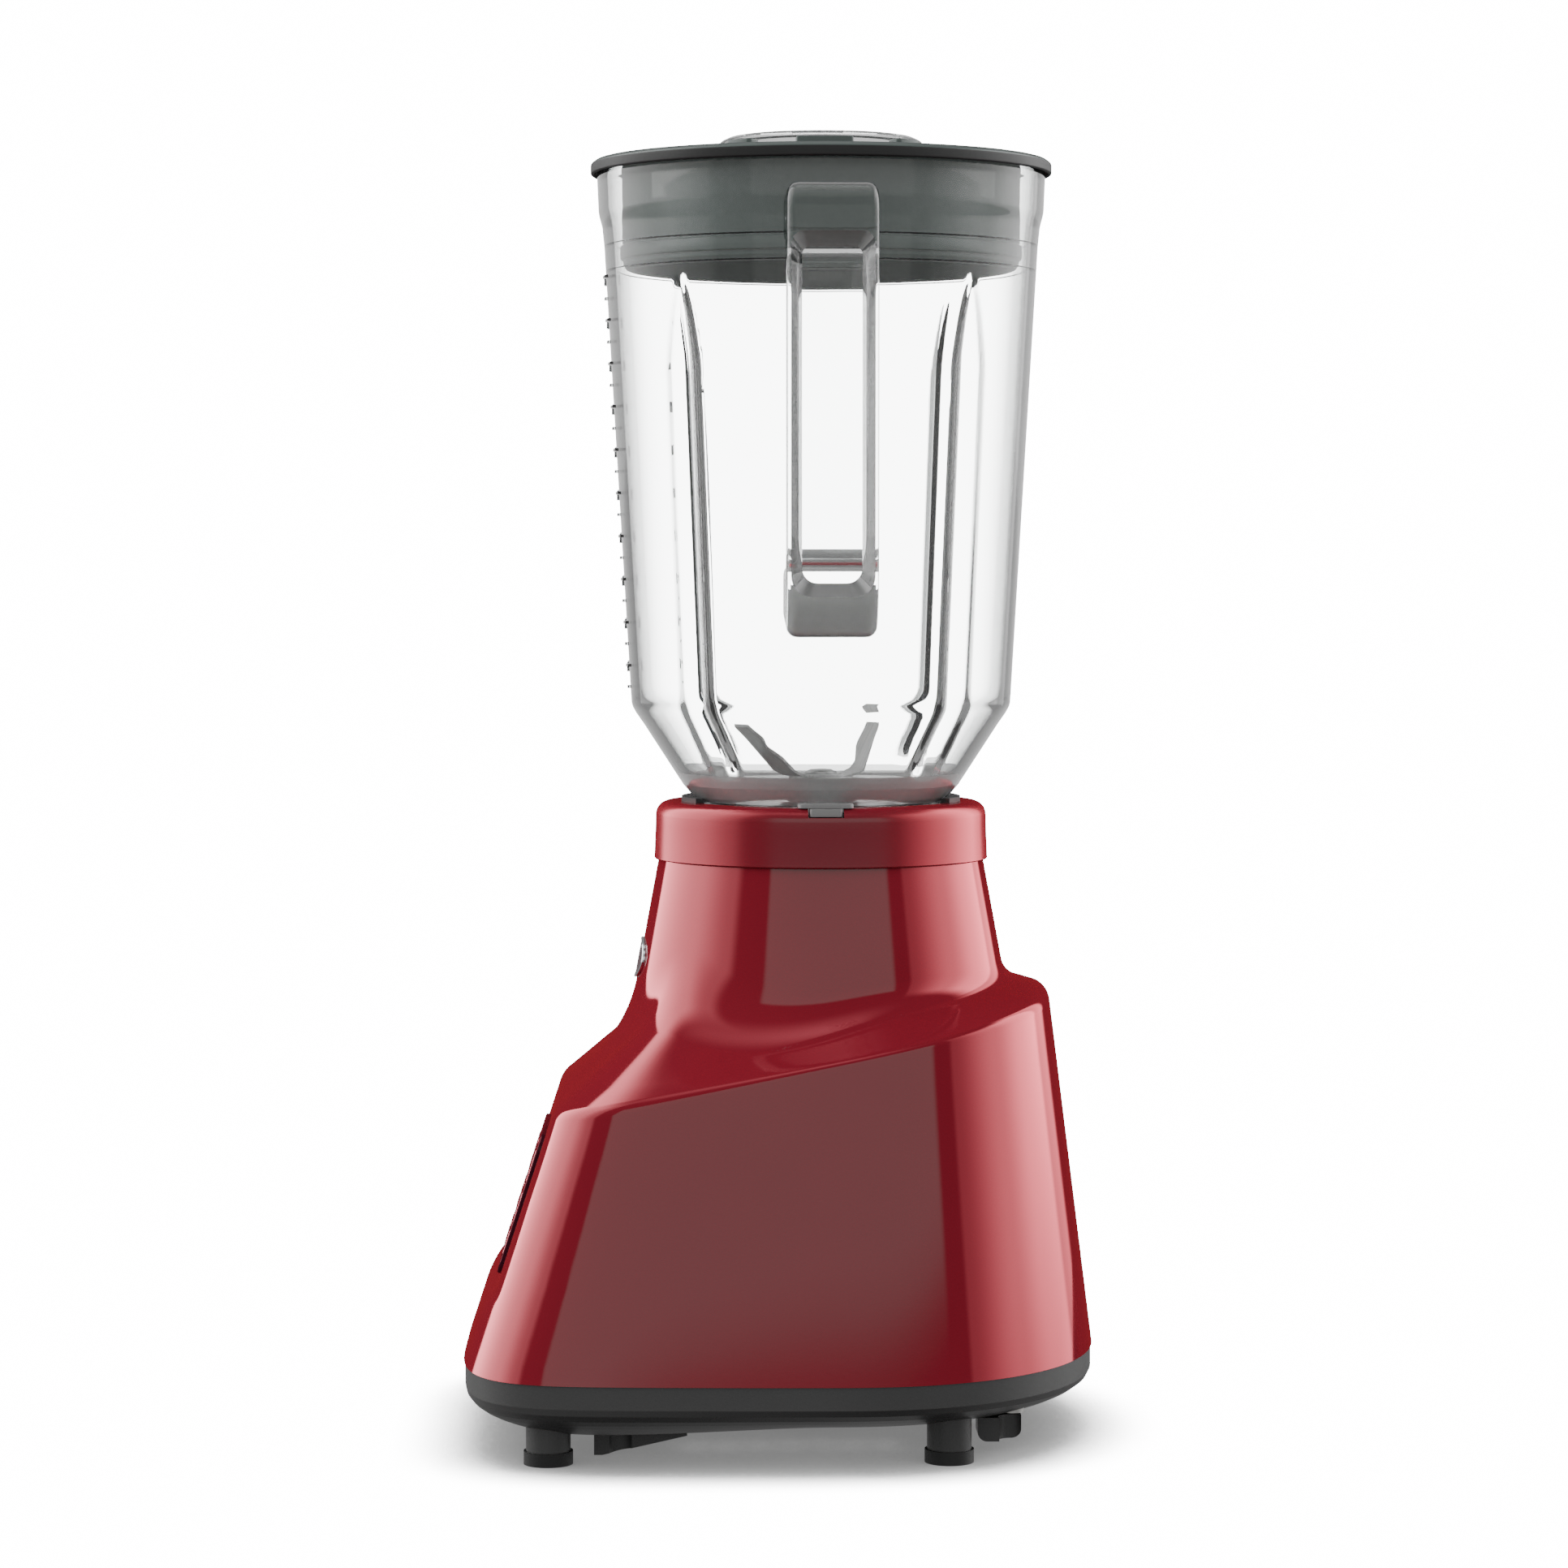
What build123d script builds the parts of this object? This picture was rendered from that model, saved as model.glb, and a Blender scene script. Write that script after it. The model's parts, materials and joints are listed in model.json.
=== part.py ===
"""Countertop blender: motor base, clear jar with blade set, lid and measuring cap.

Frame: millimetres, +Z up, front faces -Y, jar handle points +X.
Origin: centre of the four feet, on the worktop plane.
"""
import math
import os

from build123d import *

os.makedirs("parts", exist_ok=True)

# ---------------------------------------------------------------- driving dimensions
DRIVE_Y = 23.5              # drive axis behind the centre of the feet
TOTAL_HEIGHT = 400.0
WALL = 2.5                  # base housing wall
Z_SEAM = 27.0               # joint between housing and bottom pan
Z_NECK_TOP = 177.0
PAN_Z = 9.4                 # underside of the bottom pan

# plan outline of the housing at the seam, measured from the drive axis
HALF_WIDTH = 90.5
FRONT_REACH = 115.5
REAR_REACH = 79.5
PLAN_CENTRE = 5.0
SIDE_TAPER = 4.6
SIDE_DRAFT = 0.137
REAR_DRAFT = 0.1254
FRONT_DRAFT = 0.33

# flat front facet that carries the control panel
FACET_Y = 99.1
FACET_Z = 51.6
FACET_SLOPE = 0.325
LEDGE_STEP = 4.4
LEDGE_TOP = 51.5
LEDGE_RUN = 9.5

# crease between sloping top and sides, and neck cone
CREASE_Z = 119.5
CREASE_SLOPE = 0.2
CREASE_CROWN = 3.0
NECK_R = 51.2
NECK_Z = 173.5
NECK_SLOPE = 0.185

# feet
FOOT_X = 65.0
FOOT_Y = 60.0
FOOT_R = 7.4
FOOT_H = 4.0
POST_R = 6.7

# collar and jar seat
COLLAR_R = 51.9
COLLAR_TOP = 195.0
COLLAR_BORE = 43.6
DECK_Z = 160.0
DECK_T = 3.0
DECK_R = 50.4
WELL_R = 40.7

# motor
SHAFT_R = 4.0
RUN_CLEAR = 0.05
STATOR_R = 42.0
STATOR_Z0 = 60.0
STATOR_Z1 = 95.0
ARMATURE_R = 22.0
BORE_R = 22.6
POST_PITCH_R = 38.0

# jar
JAR_WALL = 3.2
JAR_TOP = 389.7
JAR_MOUTH_R = 69.4
JAR_WAIST_Z = 224.8
JAR_WAIST_R = 58.9
HANDLE_W = 26.4
HANDLE_X = 112.0
HANDLE_TOP = 378.0
HANDLE_BOTTOM = 247.0
GRAD_PITCH = 13.3
GRAD_TOP = 336.5
GRAD_COUNT = 7

# lid and cap
LID_R = 71.0
LID_Z = 390.1
LID_SKIRT_R = 61.7
LID_SKIRT_Z = 358.8
FILL_R = 29.4
CAP_R = 31.5

# control panel
BUTTON_TRAVEL = 1.5
BUTTON_ROWS = ((12.6, 12.0, 23.0), (-1.0, 10.6, 20.5), (-13.0, 9.4, 18.0))
BUTTON_GAP = 3.4
PANEL_Z = 71.0
PANEL_TILT = math.atan(FACET_SLOPE)

FRONT = -math.pi / 2


# ---------------------------------------------------------------- helpers
def at_axis(shape):
    return Pos(0, DRIVE_Y, 0) * shape


def turned(points):
    """Solid of revolution about the drive axis from (radius, height) points."""
    face = make_face(Plane.XZ * Polyline(*points, close=True))
    return at_axis(revolve(face, Axis.Z))


def ring(r_out, r_in, z0, z1):
    body = Cylinder(r_out, z1 - z0, align=(Align.CENTER, Align.CENTER, Align.MIN))
    if r_in > 0:
        body -= Cylinder(r_in, z1 - z0, align=(Align.CENTER, Align.CENTER, Align.MIN))
    return at_axis(Pos(0, 0, z0) * body)


def rod(x, y, r, z0, z1):
    return Pos(x, y, z0) * Cylinder(r, z1 - z0, align=(Align.CENTER, Align.CENTER, Align.MIN))


def slab(x0, x1, y0, y1, z0, z1):
    return Pos((x0 + x1) / 2, (y0 + y1) / 2, (z0 + z1) / 2) * Box(x1 - x0, y1 - y0, z1 - z0)


def sector(r_out, r_in, z0, z1, mid_deg, half_deg):
    """Ring sector centred on an azimuth."""
    a0, a1 = math.radians(mid_deg - half_deg), math.radians(mid_deg + half_deg)
    am = math.radians(mid_deg)

    def pt(r, a):
        return (r * math.cos(a), r * math.sin(a))

    outline = Wire([
        Line(pt(r_in, a0), pt(r_out, a0)).edge(),
        ThreePointArc(pt(r_out, a0), pt(r_out, am), pt(r_out, a1)).edge(),
        Line(pt(r_out, a1), pt(r_in, a1)).edge(),
        ThreePointArc(pt(r_in, a1), pt(r_in, am), pt(r_in, a0)).edge(),
    ])
    return at_axis(Pos(0, 0, z0) * extrude(make_face(outline), z1 - z0, dir=(0, 0, 1)))


def around(count, start_deg, maker):
    """One shape from copies of maker(azimuth) spaced evenly."""
    out = maker(start_deg)
    for i in range(1, count):
        out += maker(start_deg + i * 360.0 / count)
    return out


def coil(radius, wire, height, turns):
    path = Helix(pitch=height / turns, height=height, radius=radius)
    section = Plane(path @ 0, z_dir=path % 0) * Circle(wire)
    return sweep(section, path=path, is_frenet=True)


def save(shape, node):
    solids = shape.solids()
    shape = solids[0] if len(solids) == 1 else Compound(children=list(solids))
    shape.label = node
    export_step(shape, f"parts/{node}.step")


# ---------------------------------------------------------------- housing surface
def smooth_min(a, b, k):
    h = max(k - abs(a - b), 0.0) / k
    return min(a, b) - h * h * k / 4


def smooth_step(t):
    t = min(max(t, 0.0), 1.0)
    return t * t * (3 - 2 * t)


def plan_radius(phi, z, inset):
    """Distance from the drive axis to the side wall at height z."""
    rise = z - Z_SEAM
    half = HALF_WIDTH - SIDE_DRAFT * rise - inset
    rear = REAR_REACH - REAR_DRAFT * rise - inset
    front = FRONT_REACH - FRONT_DRAFT * rise - inset
    lo, hi = 5.0, 160.0
    for _ in range(44):
        r = (lo + hi) / 2
        x, y = abs(r * math.cos(phi)), r * math.sin(phi) - PLAN_CENTRE
        if y > 0:
            value = (x / half) ** 2.2 + (y / rear) ** 2.2
        else:
            v = -y / front
            value = (x / max(half - SIDE_TAPER * min(v, 1.2) ** 1.5, 1.0)) ** 4 + v ** 9
        if value < 1:
            lo = r
        else:
            hi = r
    r = (lo + hi) / 2
    if math.sin(phi) < -0.05:
        ledge = LEDGE_STEP * smooth_step((LEDGE_TOP - z) / LEDGE_RUN)
        flat = (FACET_Y - FACET_SLOPE * (z - FACET_Z) + ledge - inset) / -math.sin(phi)
        r = smooth_min(r, flat, 2.4)
    return r


def blend(corner, d_in, d_out, radius, count):
    """Points on the tangent arc that rounds a corner between two directions."""
    cross = d_in[0] * d_out[1] - d_in[1] * d_out[0]
    theta = math.acos(max(-1.0, min(1.0, d_in[0] * d_out[0] + d_in[1] * d_out[1])))
    sign = 1.0 if cross > 0 else -1.0
    reach = radius * math.tan(theta / 2)
    start = (corner[0] - reach * d_in[0], corner[1] - reach * d_in[1])
    centre = (start[0] - sign * radius * d_in[1], start[1] + sign * radius * d_in[0])
    points = []
    for i in range(count):
        a = sign * theta * i / (count - 1)
        dx = d_in[0] * math.cos(a) - d_in[1] * math.sin(a)
        dz = d_in[0] * math.sin(a) + d_in[1] * math.cos(a)
        points.append((centre[0] + sign * radius * dz, centre[1] - sign * radius * dx))
    return points


def meridian(phi, inset, z_top, z_bottom):
    """(radius, height) points down the housing wall at one azimuth."""
    c = -math.sin(phi)
    top_angle = math.radians(28 + 11 * c - c * c)
    drop = inset / math.cos(top_angle)
    z = CREASE_Z
    for _ in range(25):
        r = plan_radius(phi, z, inset)
        x, y = r * math.cos(phi), r * math.sin(phi)
        target = CREASE_Z + CREASE_SLOPE * (y + 5.2) + CREASE_CROWN * math.exp(-(x / 38) ** 2)
        z = 0.4 * z + 0.6 * (target - 0.75 * drop)
    corner = (plan_radius(phi, z, inset), z)
    cut = (corner[0] - NECK_R + inset - (NECK_Z - corner[1]) * NECK_SLOPE)
    run = cut / (math.cos(top_angle) - NECK_SLOPE * math.sin(top_angle))
    foot = (corner[0] - run * math.cos(top_angle), corner[1] + run * math.sin(top_angle))
    n = math.hypot(NECK_SLOPE, 1)
    d_neck = (NECK_SLOPE / n, -1 / n)
    d_top = (math.cos(top_angle), -math.sin(top_angle))
    fall = (plan_radius(phi, z - 5, inset) - corner[0]) / 5
    m = math.hypot(fall, 1)
    d_side = (fall / m, -1 / m)
    r_hollow = math.exp(3.091 + 0.930 * c - 0.215 * c * c) + inset
    r_edge = max(2.5 + 2 * c + 5.5 * c * c - inset, 0.8)
    hollow = blend(foot, d_neck, d_top, r_hollow, 10)
    edge = blend(corner, d_top, d_side, r_edge, 7)
    points = []
    points.append((NECK_R + (NECK_Z - z_top) * NECK_SLOPE - inset, z_top))
    points += hollow + edge
    for zz in (80, 53, 50.5, 48.5, 46.5, 44.5, 42, z_bottom):
        points.append((plan_radius(phi, zz, inset), zz))
    return points


def skin_solid(profile, count=48):
    """Closed solid through the sections described by profile(azimuth)."""
    columns = []
    for i in range(count):
        phi = FRONT + 2 * math.pi * i / count
        columns.append([(r * math.cos(phi), r * math.sin(phi) + DRIVE_Y, z) for r, z in profile(phi)])
    steps = [i / count for i in range(count + 1)]
    wires = []
    for k in range(len(columns[0])):
        ring_pts = [col[k] for col in columns]
        wires.append(Wire([Edge.make_spline(ring_pts, periodic=True, parameters=steps)]))
    return Solid.make_loft(wires, ruled=True)


def housing_solid(inset, z_top=Z_NECK_TOP, z_bottom=Z_SEAM):
    return skin_solid(lambda phi: meridian(phi, inset, z_top, z_bottom))


def pan_inset(phi, z):
    c = -math.sin(phi)
    reach = 30 - 4.1 * c - 12.5 * c * c
    power = 1.9 + 0.1 * c + 0.06 * c * c
    return reach * (max(20.0 - z, 0.0) / (20.0 - PAN_Z)) ** power


def pan_solid(inset, z_top, z_low):
    levels = [z_top, 23.5, 20.0, 18.0, 16.0, 14.3, 12.8, 11.6, 10.6, 9.9, PAN_Z]

    def profile(phi):
        pts = []
        for z in levels:
            r = plan_radius(phi, Z_SEAM, 0.4 + inset) - pan_inset(phi, z)
            lift = z_low * (20.0 - min(z, 20.0)) / (20.0 - PAN_Z)
            pts.append((r, z if z == z_top else z + lift))
        return pts
    return skin_solid(profile)


def panel_frame():
    """Plane on the front facet: x across, y up the slope, z outward."""
    y = DRIVE_Y - FACET_Y + FACET_SLOPE * (PANEL_Z - FACET_Z)
    normal = (0, -math.cos(PANEL_TILT), math.sin(PANEL_TILT))
    return Plane(origin=(0, y, PANEL_Z), x_dir=(1, 0, 0), z_dir=normal)


def shield(offset):
    """Control panel outline, narrowing downward."""
    pts = [(-31 - offset, 24 + offset), (31 + offset, 24 + offset),
           (24 + offset, -22 - offset), (-24 - offset, -22 - offset)]
    face = make_face(Polyline(*pts, close=True))
    return fillet(face.vertices(), 5.0 + offset)


def buttons_layout():
    for v, tall, wide in BUTTON_ROWS:
        for side in (-1, 1):
            yield side * (wide + BUTTON_GAP) / 2, v, wide, tall


# ---------------------------------------------------------------- base
BOSSES = [(-60, -62), (60, -62), (-56, 56), (56, 56)]


def base_housing():
    outer = housing_solid(0.0)
    inner = housing_solid(WALL, Z_NECK_TOP + 1, Z_SEAM - 1)
    cavity = inner - ring(60.0, 43.6, DECK_Z - 5, DECK_Z)
    for x, y in BOSSES:
        out = math.atan2(y, x)
        web = Pos(x, y + DRIVE_Y, 46) * Rot(0, 0, math.degrees(out)) * Pos(13, 0, 0) * Box(26, 2.4, 30)
        cavity -= (rod(x, y + DRIVE_Y, 4.5, 31, 61) + web) - rod(x, y + DRIVE_Y, 1.95, 30, 52)
    frame = panel_frame()
    window = make_face(Polyline((-27, 20.5), (27, 20.5), (21.5, -18.5), (-21.5, -18.5), close=True))
    tools = [cavity, frame * Pos(0, 0, -1.3) * extrude(shield(0.25), 10),
             frame * Pos(0, 0, -9) * extrude(window, 12)]
    for k in range(4):
        a = math.radians(90 * k)
        tools.append(rod(46.5 * math.cos(a), DRIVE_Y + 46.5 * math.sin(a), 1.65, 150, 162))
    return outer - tools


def collar_ring():
    profile = [(COLLAR_BORE, 194.6), (44.2, COLLAR_TOP), (47.2, COLLAR_TOP)]
    for i in range(1, 6):
        a = math.radians(90 - 15 * i)
        profile.append((47.2 + 3.95 * math.cos(a), 190.9 + 4.1 * math.sin(a)))
    profile += [(51.15, 188.8), (COLLAR_R, Z_NECK_TOP + 0.1), (48.0, Z_NECK_TOP + 0.1), (48.0, 167.0),
                (45.6, 167.0), (45.6, 176.0), (COLLAR_BORE, 178.5)]
    body = turned(profile)
    return body - slab(36, 60, DRIVE_Y - 9.2, DRIVE_Y + 9.2, 189.8, 200)


def seat_cushion():
    body = ring(43.4, 40.6, 186.0, 194.6)
    body += sector(43.4, 40.6, 190.0, 196.5, 90, 26) + sector(43.4, 40.6, 190.0, 196.5, 270, 26)
    body -= slab(36, 60, DRIVE_Y - 9.2, DRIVE_Y + 9.2, 189.8, 200)
    return body


def seat_deck():
    body = ring(DECK_R, 17.0, DECK_Z, DECK_Z + DECK_T)
    body += ring(43.3, WELL_R, DECK_Z + DECK_T, 186.0)
    body += ring(19.0, 17.0, DECK_Z + DECK_T, 167.5)
    body += around(4, 45, lambda a: sector(WELL_R + 0.5, 31, DECK_Z + DECK_T - 0.5, 179.2, a, 9))
    for k in range(4):
        a = math.radians(45 + 90 * k)
        x, y = POST_PITCH_R * math.cos(a), DRIVE_Y + POST_PITCH_R * math.sin(a)
        body += rod(x, y, 5.0, 120.0, DECK_Z + 0.5)
        body -= rod(x, y, 2.15, 110, 142)
        b = math.radians(90 * k)
        body -= rod(46.5 * math.cos(b), DRIVE_Y + 46.5 * math.sin(b), 1.65, 150, 170)
        body -= rod(26 * math.cos(b), DRIVE_Y + 26 * math.sin(b), 2.5, 150, 170)
    return body


def deck_screws():
    parts = []
    for k in range(4):
        a = math.radians(90 * k)
        x, y = 46.5 * math.cos(a), DRIVE_Y + 46.5 * math.sin(a)
        head = rod(x, y, 2.7, 163.0, 165.2) - rod(x, y, 1.1, 164.2, 166)
        parts.append(head + rod(x, y, 1.6, 156.0, 163.0))
    return Compound(children=parts)


def bottom_pan():
    outer = pan_solid(0.0, Z_SEAM, 0.0)
    cavity = pan_solid(2.4, Z_SEAM + 1, 2.4)
    pillars = [rod(x, y + DRIVE_Y, 6.2, 0, 30.8) for x, y in BOSSES]
    posts = [rod(x, y, POST_R, FOOT_H, 17.0) for x in (-FOOT_X, FOOT_X) for y in (-FOOT_Y, FOOT_Y)]
    body = outer - (cavity - pillars)
    hub_y = DRIVE_Y - 3.5
    adds = posts + [rod(0, hub_y, 27.5, 3.4, PAN_Z + 1.6)]
    for side in (-1, 1):
        fin = make_face(Plane.YZ * Polyline(
            (DRIVE_Y - 70, 0.9), (DRIVE_Y - 67.5, 0.9), (DRIVE_Y - 42, 6.6), (DRIVE_Y - 42, 10.6),
            (DRIVE_Y - 70, 11.6), close=True))
        adds.append(Pos(side * 56 - 1.5, 0, 0) * extrude(fin, 3.0, dir=(1, 0, 0)))
        lug = slab(side * 53 - 4.5, side * 53 + 4.5, DRIVE_Y + 45.5, DRIVE_Y + 59, 4.4, 11.6)
        adds.append(fillet(lug.edges().filter_by(Axis.X).group_by(Axis.Z)[0], 3.0))
    adds += [rod(x, y + DRIVE_Y, 6.2, Z_SEAM, 30.8) for x, y in BOSSES]
    body = body + adds
    cuts = [rod(x, y, 2.6, FOOT_H - 1, 10.0) for x in (-FOOT_X, FOOT_X) for y in (-FOOT_Y, FOOT_Y)]
    for x, y in BOSSES:
        cuts.append(rod(x, y + DRIVE_Y, 4.2, 0, 16.0) + rod(x, y + DRIVE_Y, 1.95, 15, 40))
    cuts.append(rod(0, hub_y, 25.5, 3.0, 7.4) + rod(0, hub_y, 6.0, 3, 14))
    for i in range(12):
        cuts.append(Pos(0, hub_y, 9) * Rot(0, 0, 30 * i) * Pos(16.0, 0, 0) * Box(13, 3.0, 12))
    for side in (-1, 1):
        for j in range(7):
            cuts.append(slab(min(side * 33, side * 47), max(side * 33, side * 47),
                             DRIVE_Y - 42 + 10 * j, DRIVE_Y - 39 + 10 * j, 2, 14))
    cuts.append(rod(0, DRIVE_Y + 49, 6.05, 0, 16))
    return body - cuts


def rubber_feet():
    parts = []
    for x in (-FOOT_X, FOOT_X):
        for y in (-FOOT_Y, FOOT_Y):
            parts.append(rod(x, y, FOOT_R, 0, FOOT_H) + rod(x, y, 2.5, FOOT_H, 9.5))
    return Compound(children=parts)


def pan_screws():
    parts = []
    for x, y in BOSSES:
        y += DRIVE_Y
        head = rod(x, y, 3.7, 13.4, 16.0)
        head -= Pos(x, y, 13.6) * Box(4.4, 0.9, 1.4)
        head -= Pos(x, y, 13.6) * Box(0.9, 4.4, 1.4)
        parts.append(head + rod(x, y, 1.9, 16.0, 50.0))
    return Compound(children=parts)


def cord_gland():
    x, y = 0, DRIVE_Y + 49
    body = rod(x, y, 8.5, PAN_Z - 2.2, PAN_Z) + rod(x, y, 6.0, PAN_Z, 17.0)
    body += rod(x, y, 7.4, PAN_Z + 2.8, 14.6)
    return body - rod(x, y, 3.6, 0, 20)


def badge():
    """Blank oval badge wrapped on the neck cone."""
    def cone(offset):
        r0 = NECK_R + (NECK_Z - 128) * NECK_SLOPE + offset
        r1 = NECK_R + (NECK_Z - 160) * NECK_SLOPE + offset
        return turned([(0, 128), (r0, 128), (r1, 160), (0, 160)])
    oval = Plane(origin=(0, DRIVE_Y - 40, 146.2), x_dir=(1, 0, 0), z_dir=(0, -1, 0)) * Ellipse(12.5, 6.2)
    return (extrude(oval, 30) & cone(1.7)) - cone(0.12)


# ---------------------------------------------------------------- control panel
def control_panel():
    frame = panel_frame()
    plate = extrude(shield(0.0), 2.4)
    for u, v, wide, tall in buttons_layout():
        plate -= Pos(u, v, -1) * extrude(RectangleRounded(wide + 0.5, tall + 0.5, 2.0), 6)
    for v in (14.0, 0.0, -13.5):
        plate += rod(0, v, 1.2, -9.7, 0.5)
    return frame * Pos(0, 0, -1.3) * plate


def push_button(u, v, wide, tall):
    cap = Pos(u, v, -1.9) * extrude(RectangleRounded(wide, tall, 1.8), 3.5)
    cap = fillet(cap.edges().group_by(Axis.Z)[-1], 0.4)
    stem = Pos(u, v, -3.6) * extrude(RectangleRounded(wide - 4.0, tall - 4.0, 0.9), 2.2)
    tabs = Pos(u, v, -3.1) * extrude(Rectangle(7.0, tall + 1.2), 1.3)
    pin = Pos(u, v, -8.4) * extrude(Circle(1.2), 5.0)
    return panel_frame() * (cap + stem + tabs + pin)


def button_springs():
    frame = panel_frame()
    return Compound(children=[frame * Pos(u, v, -10.6) * coil(2.3, 0.35, 5.0, 4)
                              for u, v, _, _ in buttons_layout()])


def switch_board():
    outline = make_face(Polyline((-25, 19), (25, 19), (20, -17.5), (-20, -17.5), close=True))
    board = Pos(0, 0, -12.6) * extrude(outline, 1.6)
    for u, v, _, _ in buttons_layout():
        board += Pos(u, v, -14.6) * extrude(Rectangle(7, 6), 2.1)
    for k in range(3):
        board += Pos(-12 + 12 * k, -15.5, -15.6) * extrude(Rectangle(6, 2.4), 3.1)
    return panel_frame() * board


# ---------------------------------------------------------------- motor
def stator_stack():
    body = ring(STATOR_R, BORE_R, STATOR_Z0, STATOR_Z1)
    for mid in (0, 180):
        for off in (-58, 58):
            body -= sector(35.6, 25.4, STATOR_Z0 - 1, STATOR_Z1 + 1, mid + off, 12)
    for mid in (90, 270):
        body -= sector(STATOR_R + 2, STATOR_R - 3.5, STATOR_Z0 - 1, STATOR_Z1 + 1, mid, 14)
    for k in range(4):
        body -= sector(STATOR_R + 1, STATOR_R - 0.8, STATOR_Z0 + 6 + 7 * k, STATOR_Z0 + 7 + 7 * k, 0, 50)
        body -= sector(STATOR_R + 1, STATOR_R - 0.8, STATOR_Z0 + 6 + 7 * k, STATOR_Z0 + 7 + 7 * k, 180, 50)
    return body


def field_coils():
    parts = []
    for mid in (0, 180):
        turn = sector(35, 26, STATOR_Z1 + 0.3, STATOR_Z1 + 9, mid, 68)
        turn += sector(35, 26, STATOR_Z0 - 9, STATOR_Z0 - 0.3, mid, 68)
        for off in (-58, 58):
            turn += sector(35, 26, STATOR_Z0 - 5, STATOR_Z1 + 5, mid + off, 10)
        parts.append(turn)
    return Compound(children=parts)


def upper_bracket():
    body = ring(46.0, 0, 110.0, 113.5) + ring(14.0, 0, 110.0, 122.0)
    for mid in (20, 160, 200, 340):
        body += sector(39.4, 36.2, STATOR_Z1, 110.5, mid, 7)
    body -= ring(11.0, 0, 115.0, 123.0)
    body -= ring(6.0, 0, 100.0, 123.0)
    for k in range(4):
        a = 45 + 90 * k
        body -= sector(33, 18, 100, 120, a + 45, 30)
        x, y = POST_PITCH_R * math.cos(math.radians(a)), POST_PITCH_R * math.sin(math.radians(a))
        body -= rod(x, y + DRIVE_Y, 2.2, 90, 120)
    for k in range(4):
        body -= sector(50, 40, 100, 120, 90 * k, 24)
    return body


def lower_bracket():
    body = ring(STATOR_R, 0, 36.0, 39.0) + ring(14.0, 0, 28.0, 38.0)
    body += around(4, 45, lambda a: sector(42, 36.5, 38.5, STATOR_Z0, a, 8))
    body -= ring(11.0, 0, 27.0, 35.0)
    body -= ring(6.0, 0, 20.0, 45.0)
    for k in range(4):
        body -= sector(33, 19, 30, 45, 45 + 90 * k, 24)
    return body


def bearing(z0):
    """Sealed ball bearing, 22 x 8 x 7."""
    r_in = SHAFT_R + RUN_CLEAR
    return turned([(r_in, z0), (5.6, z0), (5.9, z0 + 0.5), (9.2, z0 + 0.5), (9.5, z0), (11.0, z0),
                   (11.0, z0 + 7), (9.5, z0 + 7), (9.2, z0 + 6.5), (5.9, z0 + 6.5), (5.6, z0 + 7),
                   (r_in, z0 + 7)])


def brush_holders():
    parts = []
    for s in (-1, 1):
        y0, y1 = sorted((DRIVE_Y + s * 12.5, DRIVE_Y + s * 36))
        tube = slab(-5, 5, y0, y1, 39.0, 51.5)
        c0, c1 = sorted((DRIVE_Y + s * 8, DRIVE_Y + s * 34))
        tube -= slab(-3.2, 3.2, c0, c1, 42.6, 49.4)
        tube -= slab(-1.0, 1.0, min(DRIVE_Y + s * 16, DRIVE_Y + s * 33),
                     max(DRIVE_Y + s * 16, DRIVE_Y + s * 33), 48, 53)
        parts.append(tube)
    return Compound(children=parts)


def carbon_brushes():
    parts = []
    for s in (-1, 1):
        y0, y1 = sorted((DRIVE_Y + s * 9.6, DRIVE_Y + s * 24))
        parts.append(slab(-3.1, 3.1, y0, y1, 42.7, 49.3) - ring(10.35, 0, 40, 53))
    return Compound(children=parts)


def brush_springs():
    parts = []
    for s in (-1, 1):
        spring = coil(2.2, 0.35, 9.0, 5)
        parts.append(Pos(0, DRIVE_Y + s * 24.5, 46.0) * Rot(-90 * s, 0, 0) * spring)
    return Compound(children=parts)


def motor_mounts():
    parts = []
    for k in range(4):
        a = math.radians(45 + 90 * k)
        x, y = POST_PITCH_R * math.cos(a), DRIVE_Y + POST_PITCH_R * math.sin(a)
        bush = rod(x, y, 6.4, 113.5, 115.4) + rod(x, y, 4.6, 115.4, 118.0) + rod(x, y, 6.4, 118.0, 120.0)
        parts.append(bush - rod(x, y, 2.3, 100, 130))
    return Compound(children=parts)


def motor_screws():
    parts = []
    for k in range(4):
        a = math.radians(45 + 90 * k)
        x, y = POST_PITCH_R * math.cos(a), DRIVE_Y + POST_PITCH_R * math.sin(a)
        head = rod(x, y, 3.6, 107.4, 110.0) - rod(x, y, 1.5, 106, 109.0)
        parts.append(head + rod(x, y, 2.1, 110.0, 140.0))
    return Compound(children=parts)


def motor_shaft():
    return ring(SHAFT_R, 0, 12.0, 174.0)


def armature_core():
    body = ring(ARMATURE_R, SHAFT_R, 58.5, 96.5)
    for i in range(12):
        body -= sector(ARMATURE_R + 1, 17.2, 57, 98, 30 * i, 1.8)
        body -= sector(17.4, 12.0, 57, 98, 30 * i, 9.5)
    return body


def armature_windings():
    body = ring(17.6, 9.0, 96.5, 103.5) + ring(17.6, 9.0, 52.8, 58.5)
    for i in range(12):
        body += sector(17.1, 12.3, 58.0, 97.0, 30 * i, 8.8)
        body += sector(19.2, 15.5, 97.0, 101.5, 30 * i, 8)
        body += sector(19.2, 15.5, 54.4, 58.2, 30 * i, 8)
    return body


def commutator():
    body = ring(10.0, SHAFT_R, 40.4, 52.0)
    for i in range(12):
        body -= sector(11, 9.2, 39.5, 51.0, 30 * i + 15, 1.6)
    return body


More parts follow.
